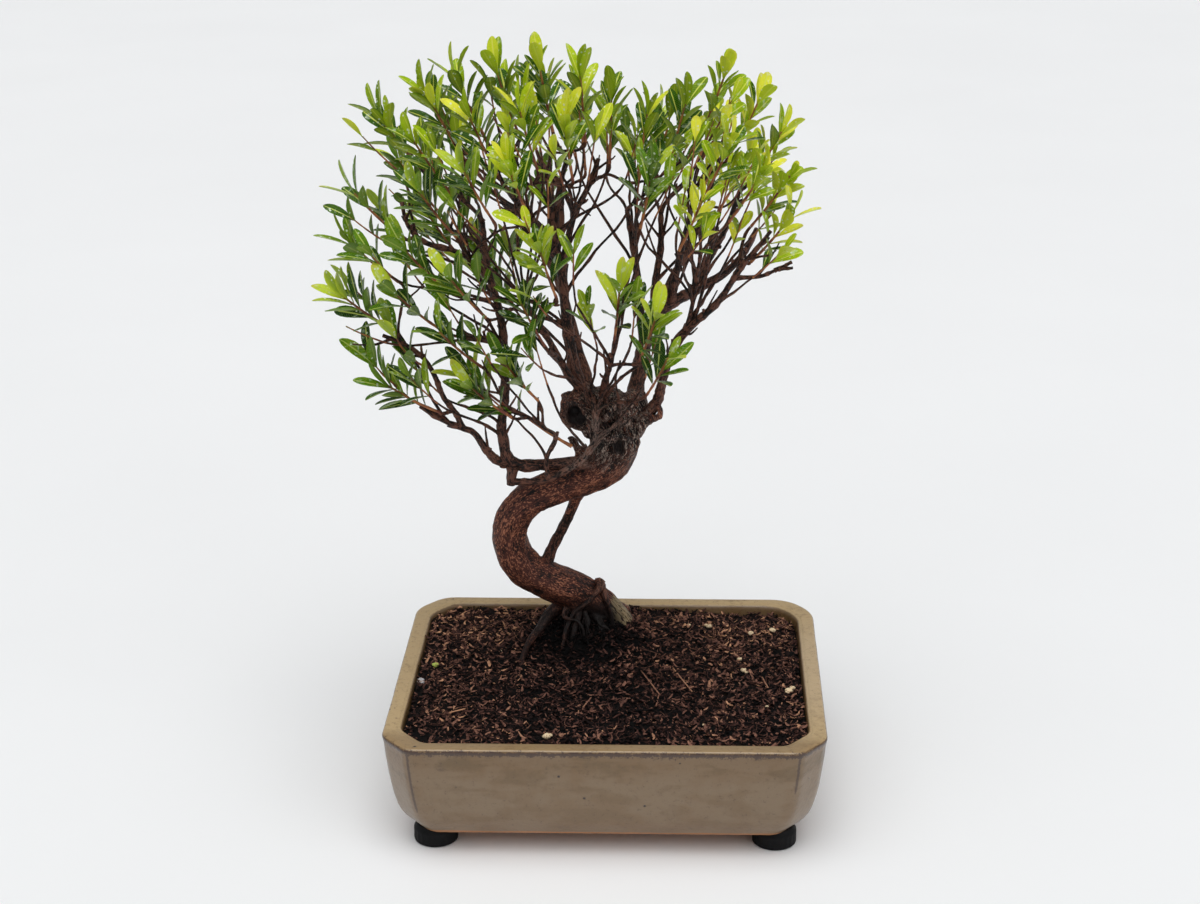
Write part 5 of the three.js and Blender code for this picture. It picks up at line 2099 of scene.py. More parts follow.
        reach = radius[:, None, None] * swell[..., None] * uneven
        level, lift = level[:, None, None], self.flatness * lift[:, None, None]
        outward = level * np.cos(angle)[:, None] + lift * np.sin(angle)[:, None]
        past = way * length[:, None] * 0.1
        ends = np.stack([line[:, 0] - past, line[:, -1] + past], axis=1)
        return line[:, :, None] + reach[..., None] * outward, ends

    def _crumbs(self, peat: Material) -> None:
        """Chips and crumbs in their thousands, each with its own tone, heaped round the trunk.

        Args:
            peat: The material of peat.
        """
        for name, seed, amount, long, thick, shape in (
            ("peat_chips", 31, self.chips, (2.6, 7.0), (0.5, 1.15), (4, 4)),
            ("peat_crumbs", 33, self.crumbs, (1.2, 3.4), (0.3, 0.75), (3, 3)),
        ):
            draws = np.random.default_rng(seed)
            places = self._inside(draws, amount, 1.2)
            if name == "peat_chips":
                places = np.concatenate([places, self._heap(draws)])
            count = len(places)
            length = draws.uniform(*long, count) * draws.uniform(0.6, 1, count)
            radius = draws.uniform(*thick, count)
            rise = 0.55 + (draws.uniform(0, 1, count) ** 3) * 1.2
            rings, ends = self._scatter(draws, places, length, radius, shape, rise, 0.75, 0.42)
            tone = draws.beta(1.3, 1.5, count)[:, None, None] * np.ones(rings.shape[:3])
            skin = Skin()
            skin.add_tubes(rings, {"tone": tone}, ends)
            seated(skin.make(name, [peat], sharp=35), "soil")

    def _heap(self, draws: np.random.Generator) -> Array:
        """Places close round the foot of the trunk.

        Args:
            draws: Random numbers.

        Returns:
            The places, (n, 2).
        """
        turn = draws.uniform(0, FULL_TURN, self.heaped)
        far = draws.uniform(8, 26, self.heaped)
        x, y = self.mounds[0, :2]
        return np.stack([x + far * 1.3 * np.cos(turn), y + far * np.sin(turn)], axis=-1)

    def _fibres(self, peat: Material) -> None:
        """Fine fibres, and the few long straws.

        Args:
            peat: The material of peat.
        """
        draws = np.random.default_rng(32)
        places = self._inside(draws, self.fibres, 7)
        count = len(places)
        length = draws.uniform(4, 14, count)
        radius = draws.uniform(0.16, 0.36, count)
        rings, ends = self._scatter(draws, places, length, radius, (6, 4), 4.2, 0.14, 0.5)
        tone = draws.uniform(0.25, 0.8, count)[:, None, None] * np.ones(rings.shape[:3])
        skin = Skin()
        skin.add_tubes(rings, {"tone": tone}, ends)
        for x, y, long, heading in self.straws:
            way = np.array([math.cos(heading), math.sin(heading)])
            t = np.linspace(-0.5, 0.5, 9)
            spots = np.array([x, y]) + way * (t * long)[:, None]
            rest = self.height(spots[:, 0], spots[:, 1]).mean() + 2.2
            centres = np.concatenate([spots, (rest + t * 0.8)[:, None]], axis=-1)
            tangents = np.broadcast_to(unit(np.append(way, 0.05)), centres.shape)
            line = Line(centres, np.full(len(t), 0.42), tangents)
            straw, _ = swept(line, 6, line.radii[:, None])
            skin.add_tubes(straw, {"tone": np.full(straw.shape[:3], 0.94)})
        seated(skin.make("peat_fibres", [peat]), "soil")

    def _grains(self, mineral: Material) -> None:
        """Rounded cream grains, half sunk: rings of a ball, pushed in and out by relief.

        Args:
            mineral: Their material.
        """
        skin = Skin()
        ball = ball_rings(8, 12)
        for number, (x, y, radius, kind) in enumerate(self.grain_places):
            swell = 1 + 0.3 * Relief(41 + number).at(ball * 1.6 + 5)
            stretch = np.array([1.15, 0.75 + 0.03 * (number % 7), 0.8])
            spot = np.array([[x, y]]).T
            rest = float((self.height(*spot) + self.relief(*spot))[0])
            centre = np.array([x, y, rest + 0.9 + 0.35 * radius])
            rings = centre + ball * stretch * radius * swell[..., None]
            poles = centre + np.array([-UP, UP]) * radius * 0.8
            tone = np.full((1, *rings.shape[:2]), kind)
            skin.add_tubes(rings[None], {"tone": tone}, poles[None])
        seated(skin.make("mineral_grains", [mineral], sharp=60), "soil")


@dataclass
class Wood:
    """The living wood: the trunk with its burl and roots as one skin, and slimmer wood as tubes.

    A knob or a hollow is an ellipsoid: its centre and its three radii.
    """

    plan: CrownPlan
    voxel: float = 0.85
    trunk_sides: int = 28
    root_sides: int = 12
    root_count: int = 26
    batch: int = 4000
    knobs: Array = table_field(
        "-18.5 31 233 12 11 10.5; 0.5 39 222 16 15 20; 25.5 33 233.5 4.6 4.5 6.6;"
        "  -4 44 238 13 10 8; -12 28 225 7 7 6.5; 7 30 213 8 8 10; -8 30 243 7 7 6;"
        "  13 40 236 9 8 9; -27.5 29 239 4 5 4; -29 27 233 2.6 4 3; -24 24 243 3.4 4 3;"
        "  6 30 240 7 6 6"
    )
    hollows: Array = table_field(
        "-22 17 236 5 9 5; -18.5 17 232 4.6 9 5.2; -24 18 231.5 2.6 6 3; -12 21 221 2 5 3.4;"
        "  4.8 22 213.5 3.4 5.5 6.6; 26 28 235.8 2.2 4 3.2; 25.9 33 234 2.2 4 3.2;"
        "  25.8 38 232.3 2.2 5 3.2; -46 38.5 111 3.2 3.2 2.2; 0 26 231 3 4 4"
    )
    gnarls: tuple[Array, ...] = tables(
        "-8 37 226 9; -15 31 230.5 9.8; -20.5 26 234 10; -25 20.5 237 8.8 /"
        "-12 27 201 2.8; -8 23 209 3; -4 21 217 3.2; 1 20.5 222 3.2; 8 22 221.5 3;"
        "  11.5 25.5 214 2.6 /"
        "14 31 221 3.6; 19 31 227 3.6; 24 30.5 230 2.8; 29 29.5 233 2.2; 29 29 237 2.2;"
        "  27.5 28.5 241 2 /"
        "-18 34 203 3.6; -21 31.5 210 2.9; -25.5 30 218 2.3 /"
        "-14 33 206 2.6; -16.5 30 213 1.8 /"
        "-9 66 98 5; -8.5 60 106 4.4; -8.3 57.5 109.5 3 /"
        "-44 50 114 5.5; -42 50 119 4.4; -41.5 50 124 3.2 /"
        "-30 33 243 2.6; -24 27 246 2.8; -17 25 244 3; -12 27 238 2.6 /"
        "-6 24 231 2.6; -1 21.5 237 2.6; 1 23 244 2.2 /"
        "6 24 232 2.8; 11 25 238 3; 14 32 246 3 /"
        "-2 50 209 5; -12 47 222 6; -14 46 236 5 /"
        "10 28 206 2.4; 14.5 29 213 2.4; 16 30.5 222 2.2"
    )
    vines: tuple[Array, ...] = tables(
        "-8.3 57 110 2; -8.6 50 107.5 1.9; -15.4 45.5 101 1.7; -24 43.5 94 1.5; -29 38 84 1.2;"
        "  -31 34 74 0.9 /"
        "-7 56 108 1.8; -4 49 101 1.6; -1.5 50 92 1.4; 1 50 80 1.2; 2 49 73 1 /"
        "-29 45 97 1.2; -30.5 42 93 1.1; -27 40.5 91 1; -21.5 40 90 1; -18 38 84 0.9;"
        "  -17 37 74 0.8 /"
        "-18 47 94 1.5; -15 42 88 1.3; -16 40 81 1.1; -12 38 72 0.9 /"
        "-10 50 90 1.6; -8 45 86 1.3; -2 44 82 1.2; 2 42 73 0.9 /"
        "-10 17 220 1.2; -5 17.5 225 1.1; 2 19 228.5 1; 8 21 232 1 /"
        "7 21 228 0.6; 12 22.5 233 0.5; 17 25 239 0.5 /"
        "5 20 227 0.9; 6 16 236 0.8; 5 12 248 0.8; 3 8 262 0.7; 6 2 276 0.6 /"
        "-10 26 238 1.5; -14 20 246 1.3; -16 14 258 1.1; -22 8 272 1; -26 2 290 0.8 /"
        "-3 24 240 1.4; -2 16 250 1.2; 5 8 262 1; 14 0 272 0.9; 22 -8 280 0.7 /"
        "95 8.5 330 1.1; 100 8 332.6 1; 104.9 8 335.3 0.9 /"
        "97 8.2 330.8 1; 101 8 331.2 0.9; 105.6 8 331.7 0.9"
    )

    def build(self, bark: Material) -> None:
        """Makes the heavy wood and the slim wood.

        Args:
            bark: The material of bark.
        """
        self.trunk = sampled_route(TRUNK_ROUTE, 8)
        self.roots = [sampled_route(route, 6) for route in ROOT_ROUTES]
        self.limbs = {name: sampled_route(route, 6) for name, route in LIMB_ROUTES.items()}
        self._heavy(bark)
        self._slim(bark)

    @staticmethod
    def _ball(skin: Skin, centre: Array, radii: Array) -> None:
        """Adds a closed ellipsoid of rings."""
        poles = centre + np.array([-UP, UP]) * radii
        skin.add_tubes((centre + ball_rings(12, 20) * radii)[None], {}, poles[None])

    def _stubs(self) -> list[Line]:
        """The first stretch of each limb that leaves the trunk or the burl, flared at its foot.

        Returns:
            Their lines, and that of the strut's upper end.
        """
        stubs = []
        for line in self.limbs.values():
            gap = np.linalg.norm(self.trunk.centres - line.centres[0], axis=1) - self.trunk.radii
            if gap.min() > 4:
                continue
            keep = int(np.searchsorted(line.along(), 16)) + 1
            stub = line.cut(0, max(keep, 4))
            share = stub.along() / stub.along()[-1]
            stubs.append(stub.scaled(1 + 0.55 * np.exp(-share * 5) - 0.08 * share))
        stubs.append(self.limbs["strut"].cut(-8, None).scaled(np.linspace(0.92, 1.35, 8)))
        return stubs

    def _heavy(self, bark: Material) -> None:
        """Trunk, burl, roots and limb feet, melted into one skin and roughened along its grain.

        Args:
            bark: The material of bark.
        """
        skin = Skin()
        sides = self.trunk_sides
        angle = np.arange(sides) * FULL_TURN / sides
        ring = np.arange(len(self.trunk.radii))[:, None] / 4
        ridges = 1 + 0.05 * np.sin(3 * angle + 0.5 * ring) + 0.035 * np.sin(5 * angle - 0.9 * ring)
        rings, _ = swept(self.trunk, sides, self.trunk.radii[:, None] * ridges)
        skin.add_tubes(rings, {})
        gnarls = [sampled_route(route, 4) for route in self.gnarls]
        for line in [*self.roots, *gnarls, *self._stubs()]:
            rings, _ = swept(line, self.root_sides, line.radii[:, None])
            skin.add_tubes(rings, {})
        for row in self.knobs:
            self._ball(skin, row[:3], row[3:])
        trunk = skin.make("trunk_and_burl", [bark])
        hole_skin = Skin()
        for row in self.hollows:
            self._ball(hole_skin, row[:3], row[3:])
        holes = hole_skin.make("burl_hollows", [])
        self._melt(holes)
        self._melt(trunk)
        cut = trunk.modifiers.new("hollows", "BOOLEAN")
        cut.operation, cut.solver, cut.object = "DIFFERENCE", "EXACT", holes
        settled(trunk)
        bpy.data.objects.remove(holes)
        self._melt(trunk)
        self._roughen(trunk)
        trunk.data.materials.clear()
        trunk.data.materials.append(bark)
        seated(trunk, "trunk")

    def _melt(self, piece: Piece) -> None:
        """Joins overlapping shells into one skin and softens it.

        Args:
            piece: The piece.
        """
        melt = piece.modifiers.new("melt", "REMESH")
        melt.mode, melt.voxel_size, melt.use_smooth_shade = "VOXEL", self.voxel * MM, True
        soften = piece.modifiers.new("soften", "SMOOTH")
        soften.factor, soften.iterations = 0.5, 4
        settled(piece)

    def _roughen(self, piece: Piece) -> None:
        """Moves each vertex along its normal by the bark's relief, and keeps its grain.

        The grain is the vertex's place round and along the nearest stretch of wood, so that
        fissures run along the wood. The relief is lumps, long fissures and flakes. The burl is
        creased and stringy too. How far each vertex was moved is kept for the bark's colour.

        Args:
            piece: The heavy wood.
        """
        mesh = piece.data
        count = len(mesh.vertices)
        points, normals = np.empty(count * 3), np.empty(count * 3)
        mesh.vertices.foreach_get("co", points)
        mesh.vertices.foreach_get("normal", normals)
        points = points.reshape(-1, 3) / MM - PotFrame.centre
        normals = normals.reshape(-1, 3)
        grain = self._grain(points)
        fissure = Relief(51).layered(grain * np.array([1, 1, 0.3]), (3.2, 1.6), (0.26, 0.2))
        flakes = Relief(52).layered(grain * np.array([1, 1, 0.7]), (1.3,), (0.16,))
        lumps = Relief(53).layered(points, (13, 6), (0.7, 0.35))
        offset = (points - np.array([-2, 34, 228])) / np.array([30, 22, 22])
        burl = np.exp(-(np.linalg.norm(offset, axis=1) ** 4))
        creases = np.abs(Relief(54).layered(points, (7, 3.4), (1, 0.6)))
        strings = Relief(55).layered(grain * np.array([1, 1, 0.16]), (2.4,), (0.8,))
        gnarl = (0.75 - 2.6 * creases + strings) * burl
        rise = fissure + flakes + gnarl
        points = points + normals * (rise + lumps - 0.25)[:, None]
        mesh.vertices.foreach_set("co", ((points + PotFrame.centre) * MM).ravel())
        # rise is kept for the bark, which paints the fissures and creases darker with it as shade.
        keep_value(mesh, "rise", rise / (0.5 + 0.9 * burl))
        keep_value(mesh, "grain", grain)
        keep_value(mesh, "age", np.ones(count))
        mesh.polygons.foreach_set("use_smooth", np.ones(len(mesh.polygons), bool))
        mesh.update()

    def _grain(self, points: Array) -> Array:
        """The unrolled place of points on the nearest wood: two offsets across it, and along.

        Args:
            points: The points, (n, 3).

        Returns:
            Their unrolled places, (n, 3).
        """
        lines = [self.trunk, *self.roots]
        wood = joined_lines(lines)
        frames = [line.frame() for line in lines]
        across, along = (np.concatenate([frame[k] for frame in frames]) for k in (0, 1))
        starts = np.concatenate([line.along() + 500 * number for number, line in enumerate(lines)])
        nearest = np.empty(len(points), int)
        for first in range(0, len(points), self.batch):
            some = points[first : first + self.batch]
            gaps = np.linalg.norm(some[:, None] - wood.centres, axis=-1) - 0.9 * wood.radii
            nearest[first : first + self.batch] = gaps.argmin(axis=1)
        offset = points - wood.centres[nearest]
        return np.stack(
            [
                (offset * across[nearest]).sum(-1),
                (offset * along[nearest]).sum(-1),
                starts[nearest] + (offset * wood.tangents[nearest]).sum(-1),
            ],
            axis=-1,
        )

    def _tube(
        self,
        skin: Skin,
        line: Line,
        sides: int,
        ages: tuple[float, float],
        wobble: float,
        seed: int,
        knotty: float = 0.3,
    ) -> None:
        """Adds a slim tube with a flared foot, small swellings and its grain.

        Args:
            skin: What it is added to.
            line: Its centre line.
            sides: Its sides.
            ages: Its age at the foot and at the tip, 1 for old.
            wobble: How uneven it is, as a share of its radius.
            seed: The seed of its unevenness.
            knotty: How far its small swellings stand out, as a share of a slim tube's radius.
        """
        angle = np.arange(sides) * FULL_TURN / sides
        distance = line.along()
        around = np.cos(angle) * 1.3, np.sin(angle) * 1.3
        places = np.stack(np.broadcast_arrays(*around, distance[:, None] / 3.2), axis=-1)
        knots = np.random.default_rng(seed).uniform(0, distance[-1], max(2, int(distance[-1] / 9)))
        stand = knotty * np.minimum(1, 1.6 / line.radii)[:, None]
        wide = 0.5 + 0.5 * line.radii[:, None]
        swelling = stand * np.exp(-(((distance[:, None] - knots) / wide) ** 2))
        uneven = 1 + wobble * Relief(seed).at(places + seed) + swelling.max(axis=1)[:, None]
        flare = 1 + 0.4 * np.exp(-distance / (2.2 * line.radii[0]))
        rings, grain = swept(line, sides, line.radii[:, None] * uneven * flare[:, None])
        grain[..., 2] += 37.0 * seed
        share = np.linspace(0, 1, len(distance))[None, :, None]
        age = np.broadcast_to(ages[0] + (ages[1] - ages[0]) * share, rings.shape[:3])
        # rise is kept for the bark, which paints the dips darker with it as shade.
        rise = np.broadcast_to((uneven - 1)[None] / wobble * 0.5, rings.shape[:3])
        skin.add_tubes(rings, {"grain": grain, "age": age, "rise": rise})

    def _crooked(self, line: Line, amount: float, seed: int) -> Line:
        """A line bent a little out of true, and left as it is at its two ends.

        Args:
            line: The line.
            amount: The most that a centre may move along each axis.
            seed: What sets this line's bends apart.

        Returns:
            The bent line.
        """
        share = np.linspace(0, 1, len(line.centres))
        row = np.full(len(share), seed * 1.7)
        places = np.stack([line.along() / 9, row, np.zeros(len(share))], axis=-1)
        side = np.stack([Relief(61 + k).at(places) for k in range(3)], axis=-1)
        centres = line.centres + side * (amount * np.sin(share * math.pi) ** 0.6)[:, None]
        return line_through(centres, line.radii)

    def _slim(self, bark: Material) -> None:
        """Limbs, the twigs that hold the sprays, and bare twigs.

        Args:
            bark: The material of bark.
        """
        skin = Skin()
        for seed, (name, line) in enumerate(self.limbs.items()):
            old = 0.75 if line.radii[0] > 3.3 else 0.6
            stout = {"trunk_front_twig": 1.25, "right": 0.84, "centre": 0.74}.get(name, 0.94)
            knotty = 0.06 if name == "strut" else 0.3
            self._tube(skin, line.scaled(stout), 12, (old, 0.45), 0.14, seed + 100, knotty)
        for spray in self.plan.sprays:
            twig = self._crooked(spray.twig.scaled(0.85), 0.7, spray.owner)
            self._tube(skin, twig, 8, (0.55, 0.25), 0.18, spray.owner + 200)
            for number, feeder in enumerate(spray.feeders):
                seed = spray.owner * 3 + number
                branch = self._crooked(feeder, 0.9, seed)
                self._tube(skin, branch, 8, (0.6, 0.3), 0.2, seed + 300)
        for number, line in enumerate(self._bare_twigs()):
            self._tube(skin, line, 6, (0.5, 0.35), 0.2, number + 500)
        for number, line in enumerate(self._fine_roots()):
            self._tube(skin, line, 6, (0.7, 0.6), 0.2, number + 900)
        for number, route in enumerate(self.vines):
            self._tube(skin, sampled_route(route, 6), 8, (0.7, 0.6), 0.22, number + 960)
        seated(skin.make("limbs_and_twigs", [bark]), "trunk")

    def _bare_twigs(self) -> list[Line]:
        """Short leafless twigs that leave the limbs and twigs and turn upwards.

        Returns:
            Their lines.
        """
        draws = np.random.default_rng(71)
        bare = ("strut", "low_left_stub")
        hosts = [line for name, line in self.limbs.items() if name not in bare]
        hosts += [spray.twig for spray in self.plan.sprays]
        made = []
        for host in hosts:
            length = host.along()[-1]
            for _ in range(max(1, round(length / 14))):
                at = place_on(host, draws.uniform(0.2, 0.94))
                reach = draws.uniform(3, 7) if draws.uniform() < 0.55 else draws.uniform(8, 26)
                outward = at.outward(draws.uniform(0, FULL_TURN))
                spread = draws.uniform(0.5, 0.95)
                leaving = unit(at.tangent * math.cos(spread) + outward * math.sin(spread))
                ending = unit(leaving + UP * draws.uniform(0.3, 0.9))
                corners = np.array(
                    [
                        at.centre,
                        at.centre + leaving * reach * 0.35,
                        at.centre + leaving * reach * 0.65,
                        at.centre + leaving * reach * 0.6 + ending * reach * 0.4,
                    ]
                )
                foot = min(0.95, at.radius * 0.75)
                line = bent_line(corners, (foot, max(0.42, foot * (1 - reach / 14))), 7)
                low, high = self.plan.low + 4, self.plan.high - 12
                if np.all((line.centres > low) & (line.centres < high)):
                    made.append(self._crooked(line, 0.8, len(made)))
        return made

    def _fine_roots(self) -> list[Line]:
        """Thin roots that hang from the trunk's foot into the soil.

        Returns:
            Their lines.
        """
        draws = np.random.default_rng(72)
        made = []
        for _ in range(self.root_count):
            at = place_on(self.trunk, draws.uniform(0.09, 0.2))
            side = draws.uniform(-1.6, 1.6)
            start = at.centre + np.array([math.sin(side) * 6, -math.cos(side) * 7, -6])
            end = start + np.array([draws.uniform(-10, 12), draws.uniform(-16, -4), 0])
            end[2] = 74 + draws.uniform(-3, 2)
            middle = (start + end) / 2 + np.array([draws.uniform(-4, 4), -3, draws.uniform(0, 5)])
            corners = np.array([start, (start + middle) / 2 + UP * 1.5, middle, end])
            root = bent_line(corners, (draws.uniform(0.4, 0.9), 0.35), 8)
            made.append(self._crooked(root, 1.2, 90 + len(made)))
        return made


@dataclass(frozen=True)
class LeafForm:
    """A kind of leaf: its size against the plan, two powers, its tone and the share left out."""

    length: float
    width: float
    base: float
    tip: float
    tone: float
    missing: float


SIDE_LEAF = LeafForm(length=1.0, width=1.0, base=1.0, tip=0.62, tone=0.06, missing=0.28)
TOP_LEAF = LeafForm(length=0.96, width=1.04, base=1.05, tip=0.6, tone=-0.15, missing=0.36)
STOUT_LEAF = LeafForm(length=0.8, width=1.06, base=1.25, tip=0.54, tone=0.2, missing=0.24)


@dataclass
class Foliage:
    """The leafy sprays: young stems with thin, folded blades that have blunt round tips."""

    plan: CrownPlan
    thickness: float = 0.42
    fold: float = 0.32
    shares: tuple[float, ...] = (0.02, 0.16, 0.36, 0.56, 0.74, 0.88, 0.965)

    def build(self, stem: Material, leaves: dict[LeafAge, Material]) -> int:
        """Makes a piece for each spray.

        Args:
            stem: The material of young stems.
            leaves: The material of the leaves of each age.

        Returns:
            The number of leaves.
        """
        total = 0
        for spray in self.plan.sprays:
            x, _, z = TUFT_CENTRES[spray.owner]
            age = LeafAge.YOUNG if z > YOUNG_ABOVE or x > YOUNG_RIGHT_OF else LeafAge.MATURE
            skin = Skin()
            for line in spray.stems:
                self._stem(skin, line)
            form = TOP_LEAF if age is LeafAge.YOUNG else SIDE_LEAF
            form = STOUT_LEAF if x > YOUNG_RIGHT_OF else form
            dressed = self._dressed(spray, form)
            self._blades(skin, dressed, form)
            name = f"myrtle_spray_{spray.owner + 1:02d}"
            piece = skin.make(name, [stem, leaves[age]], sharp=62)
            seated(piece, f"leafy_spray_{spray.owner + 1:02d}")
            total += len(dressed)
        return total

    @staticmethod
    def _dressed(spray: Spray, form: LeafForm) -> list[Leaf]:
        """The spray's leaves, paler towards the tips of their shoots and near a few pale places.

        Args:
            spray: The spray.
            form: The form of its leaves.

        Returns:
            The leaves that are made.
        """
        centres = np.concatenate([line.centres for line in spray.stems])
        shares = np.concatenate([np.linspace(0, 1, len(line.centres)) for line in spray.stems])
        dressed = []
        draws = np.random.default_rng(1200 + spray.owner)
        for number, leaf in enumerate(spray.leaves):
            if draws.uniform() < form.missing and number >= spray.first_leaves:
                continue
            share = shares[np.argmin(np.linalg.norm(centres - leaf.root, axis=1))]
            away = np.linalg.norm(PALE_PLACES[:, :3] - leaf.root, axis=1) / PALE_PLACES[:, 3]
            pale = 0.4 * np.exp(-(away**2)).sum()
            tone = float(np.clip(form.tone + 0.6 * share**1.6 + pale + 1.2 * leaf.tone, 0, 1))
            size = {"length": leaf.length * form.length, "width": leaf.width * form.width}
            dressed.append(replace(leaf, tone=tone, **size))
        return dressed

    @staticmethod
    def _stem(skin: Skin, line: Line) -> None:
        """Adds a young stem, slightly swollen where leaves stand.

        Args:
            skin: What it is added to.
            line: Its line.
        """
        share = np.linspace(0, 1, len(line.centres))
        fine = np.linspace(0, 1, 9)
        centres, tangents = (
            np.stack([np.interp(fine, share, value[:, k]) for k in range(3)], axis=-1)
            for value in (line.centres, line.tangents)
        )
        radii = np.interp(fine, share, line.radii) * (0.86 + 0.1 * np.cos(fine * 26))
        rings, _ = swept(Line(centres, radii, unit(tangents)), 6, radii[:, None])
        along = np.broadcast_to(fine[None, :, None], rings.shape[:3])
        blade = np.stack([np.zeros_like(along), along, np.zeros_like(along)], axis=-1)
        skin.add_tubes(rings, {"blade": blade, "tone": np.full(rings.shape[:3], 0.5)})

    def _blades(self, skin: Skin, leaves: Sequence[Leaf], form: LeafForm) -> None:
        """Adds leaves as closed blades.

        At a share v of the length the half width is v^a (1-v)^b, scaled to the leaf's width, with
        a narrow stalk. Across, the blade rises from the rib to its edges as |u|^1.4. The rib sinks
        by curl v^2, sways by sway v^2 and the blade twists by twist (v - 0.3).

        Args:
            skin: What they are added to.
            leaves: The leaves.
            form: Their form, with a and b.
        """
        if not leaves:
            return
        root, direction, across, face = (
            np.array([getattr(leaf, name) for leaf in leaves])
            for name in ("root", "direction", "across", "face")
        )
        length, width, curl, twist, sway, tone = (
            np.array([getattr(leaf, name) for leaf in leaves])[:, None, None]
            for name in ("length", "width", "curl", "twist", "sway", "tone")
        )
        v = np.array(self.shares)[None, :, None]
        u = np.array([1.0, 0.5, 0.0, -0.5, -1.0, 0.0])
        side = np.array([0.0, 1.0, 1.0, 1.0, 0.0, -1.0])
        widest = form.base / (form.base + form.tip)
        peak = widest**form.base * (1 - widest) ** form.tip
        half = np.maximum(v**form.base * (1 - v) ** form.tip / peak, 0.11) * width / 2
        thick = self.thickness / 2 * np.where(v < 0.1, 1.5, 1.0)
        out = half * u
        rise = self.fold * half * np.abs(u) ** 1.4 + side * thick * (1 - 0.4 * np.abs(u))
        turn = twist * (v - 0.3)
        sideways = out * np.cos(turn) - rise * np.sin(turn) + sway * length * v**2
        upwards = out * np.sin(turn) + rise * np.cos(turn) - curl * length * v**2
        along = np.broadcast_to(v * length, sideways.shape)
        rings = root[:, None, None]
        for amount, axis in ((sideways, across), (upwards, face), (along, direction)):
            rings = rings + amount[..., None] * axis[:, None, None]
        foot = root - direction * 0.2
        tip = root + direction * length[:, 0] + across * (sway * length)[:, 0]
        tip = tip - face * (curl * length)[:, 0]
        shape = sideways.shape
        blade = np.stack([np.broadcast_to(value, shape) for value in (u, v, side)], axis=-1)
        values = {"blade": blade, "tone": np.broadcast_to(tone, shape)}
        skin.add_tubes(rings, values, np.stack([foot, tip], axis=1), slot=1)


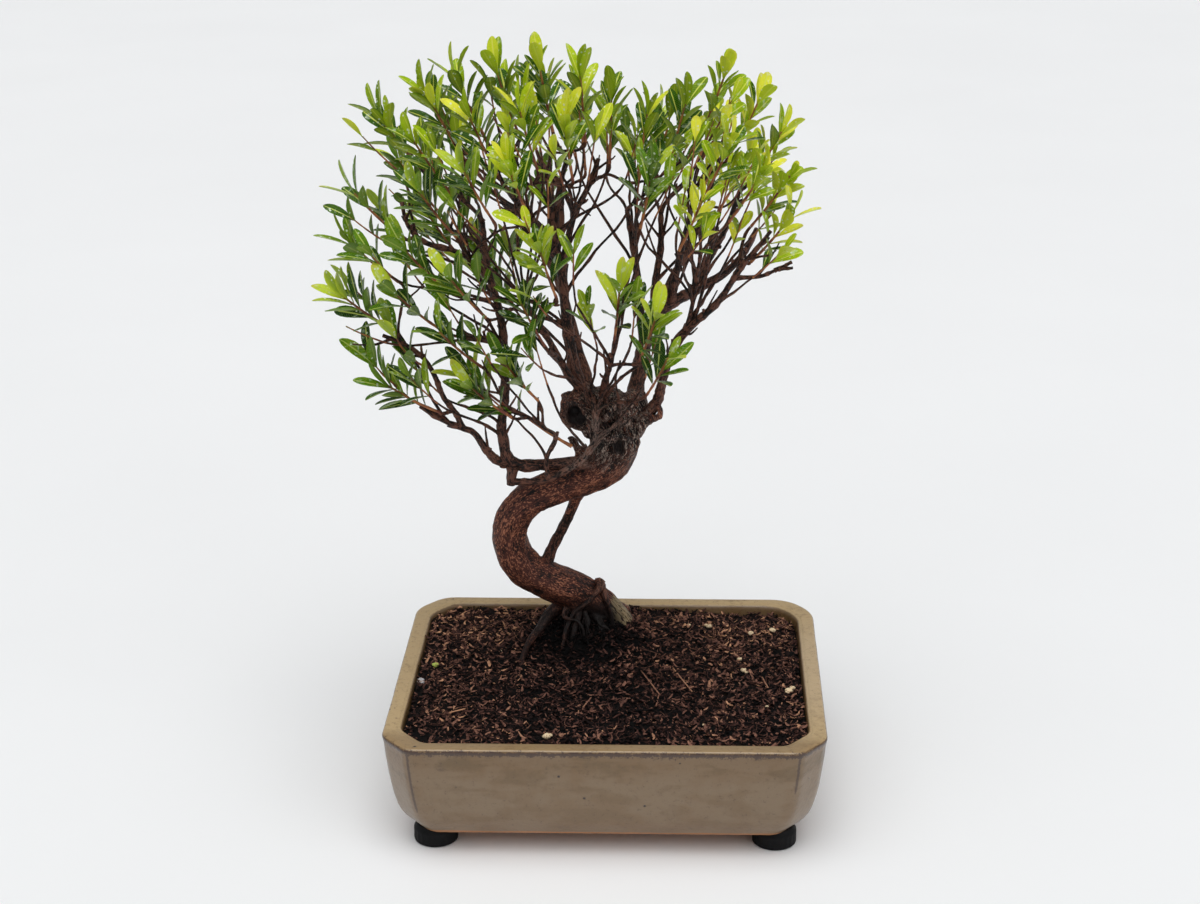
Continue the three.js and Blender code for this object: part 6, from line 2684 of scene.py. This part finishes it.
@dataclass
class Studio:
    """A pale floor, soft light from broad panels above and the photograph's view.

    A panel is its direction, the cosines where it begins and is full, and its strength.
    """

    focal_length: float = 66.0
    camera_place: Triple = (42.7, -1225.3, 677.6)
    camera_fall: float = 20.49
    camera_turn: float = 2.27
    sky_level: float = 0.26
    sky_above: float = 0.34
    panels: tuple[tuple[Triple, float, float, float], ...] = (
        ((-0.14, -0.36, 0.92), 0.76, 0.88, 1.35),
        ((0.72, -0.5, 0.48), 0.86, 0.94, 0.9),
    )
    lamp_strength: float = 0.8
    lamp_breadth: float = 40.0
    lamp_turn: Triple = (12.0, 0.0, 0.0)
    floor_half: float = 12.0
    floor_drop: float = 0.0002

    def build(self) -> None:
        """Makes the floor, the lights and the camera."""
        self._floor()
        self._sky()
        self._lamp()
        data = bpy.data.cameras.new("view")
        data.lens, data.sensor_width = self.focal_length, 36
        data.clip_start, data.clip_end = 0.01, 100
        camera = bpy.data.objects.new("view", data)
        camera.location = (np.array(self.camera_place) + PotFrame.centre) * MM
        fall, turn = math.radians(90 - self.camera_fall), math.radians(self.camera_turn)
        camera.rotation_euler = (fall, 0, turn)
        bpy.context.scene.collection.objects.link(camera)
        bpy.context.scene.camera = camera
        bpy.context.scene.view_settings.view_transform = "Standard"

    def _floor(self) -> None:
        """A large level sheet, 0.2 mm under the feet."""
        mesh = bpy.data.meshes.new("floor")
        half, level = self.floor_half, -self.floor_drop
        signs = (-1, -1), (1, -1), (1, 1), (-1, 1)
        mesh.from_pydata([(x * half, y * half, level) for x, y in signs], [], [(0, 1, 2, 3)])
        mesh.materials.append(FloorFinish().material())
        floor = bpy.data.objects.new("floor", mesh)
        bpy.context.scene.collection.objects.link(floor)
        floor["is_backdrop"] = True

    def _sky(self) -> None:
        """Soft white light from all round, and the panels."""
        kit = NodeKit("soft_light", world=True)
        way = kit.node("ShaderNodeTexCoord").outputs["Generated"]
        _, _, height = kit.parts(way)
        strength = height.step(-0.2, 1.0) * (self.sky_above - self.sky_level) + self.sky_level
        for towards, begins, full, level in self.panels:
            ends = {0: way, 1: tuple(float(v) for v in unit(np.array(towards)))}
            dot = kit.node("ShaderNodeVectorMath", {"operation": "DOT_PRODUCT"}, ends)
            strength = strength + Shade(kit, dot.outputs["Value"]).step(begins, full) * level
        sockets = {"Color": (0.97, 0.985, 1.0, 1.0), "Strength": strength}
        glow = kit.node("ShaderNodeBackground", {}, sockets)
        kit.node("ShaderNodeOutputWorld", {}, {"Surface": glow.outputs[0]})
        bpy.context.scene.world = kit.block

    def _lamp(self) -> None:
        """One broad soft lamp, far off and high up at the front."""
        data = bpy.data.lights.new("soft_lamp", "SUN")
        data.energy, data.angle = self.lamp_strength, math.radians(self.lamp_breadth)
        lamp = bpy.data.objects.new("soft_lamp", data)
        lamp.rotation_euler = tuple(math.radians(angle) for angle in self.lamp_turn)
        bpy.context.scene.collection.objects.link(lamp)


def corners_of(box: tuple[Sequence[float], Sequence[float]]) -> list[list[float]]:
    """A box's two corners as plain lists."""
    return [[float(value) for value in corner] for corner in box]


def main() -> None:
    """Builds the bonsai round its solids, piece by piece."""
    logging.basicConfig(level=logging.INFO, format="%(name)s: %(message)s")
    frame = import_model()
    solids_box = corners_of(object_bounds())
    PotFrame.find()
    low, high = (np.array(corner) / MM - PotFrame.centre for corner in solids_box)
    plan = CrownPlan(low=low - CROWN_MARGIN, high=high + CROWN_MARGIN)
    plan.grow()
    pot = Pot()
    pot.build(GlazeFinish().material())
    Feet().build(RubberFinish().material())
    plastic = PlasticFinish().material()
    for side in ("left", "right"):
        for entry in frame["nodes"][f"drain_mesh_{side}"].material_slots:
            entry.material = plastic
    Bed(pot).build(PeatFinish().material(), GrainFinish().material())
    bark = BarkFinish().material()
    Wood(plan).build(bark)
    finishes = {
        LeafAge.YOUNG: YOUNG_LEAVES.material(),
        LeafAge.MATURE: MATURE_LEAVES.material(),
    }
    leaves = Foliage(plan).build(StemFinish().material(), finishes)
    LOG.info("%d leaves on %d sprays", leaves, len(plan.sprays))
    Studio().build()


if __name__ == "__main__":
    main()
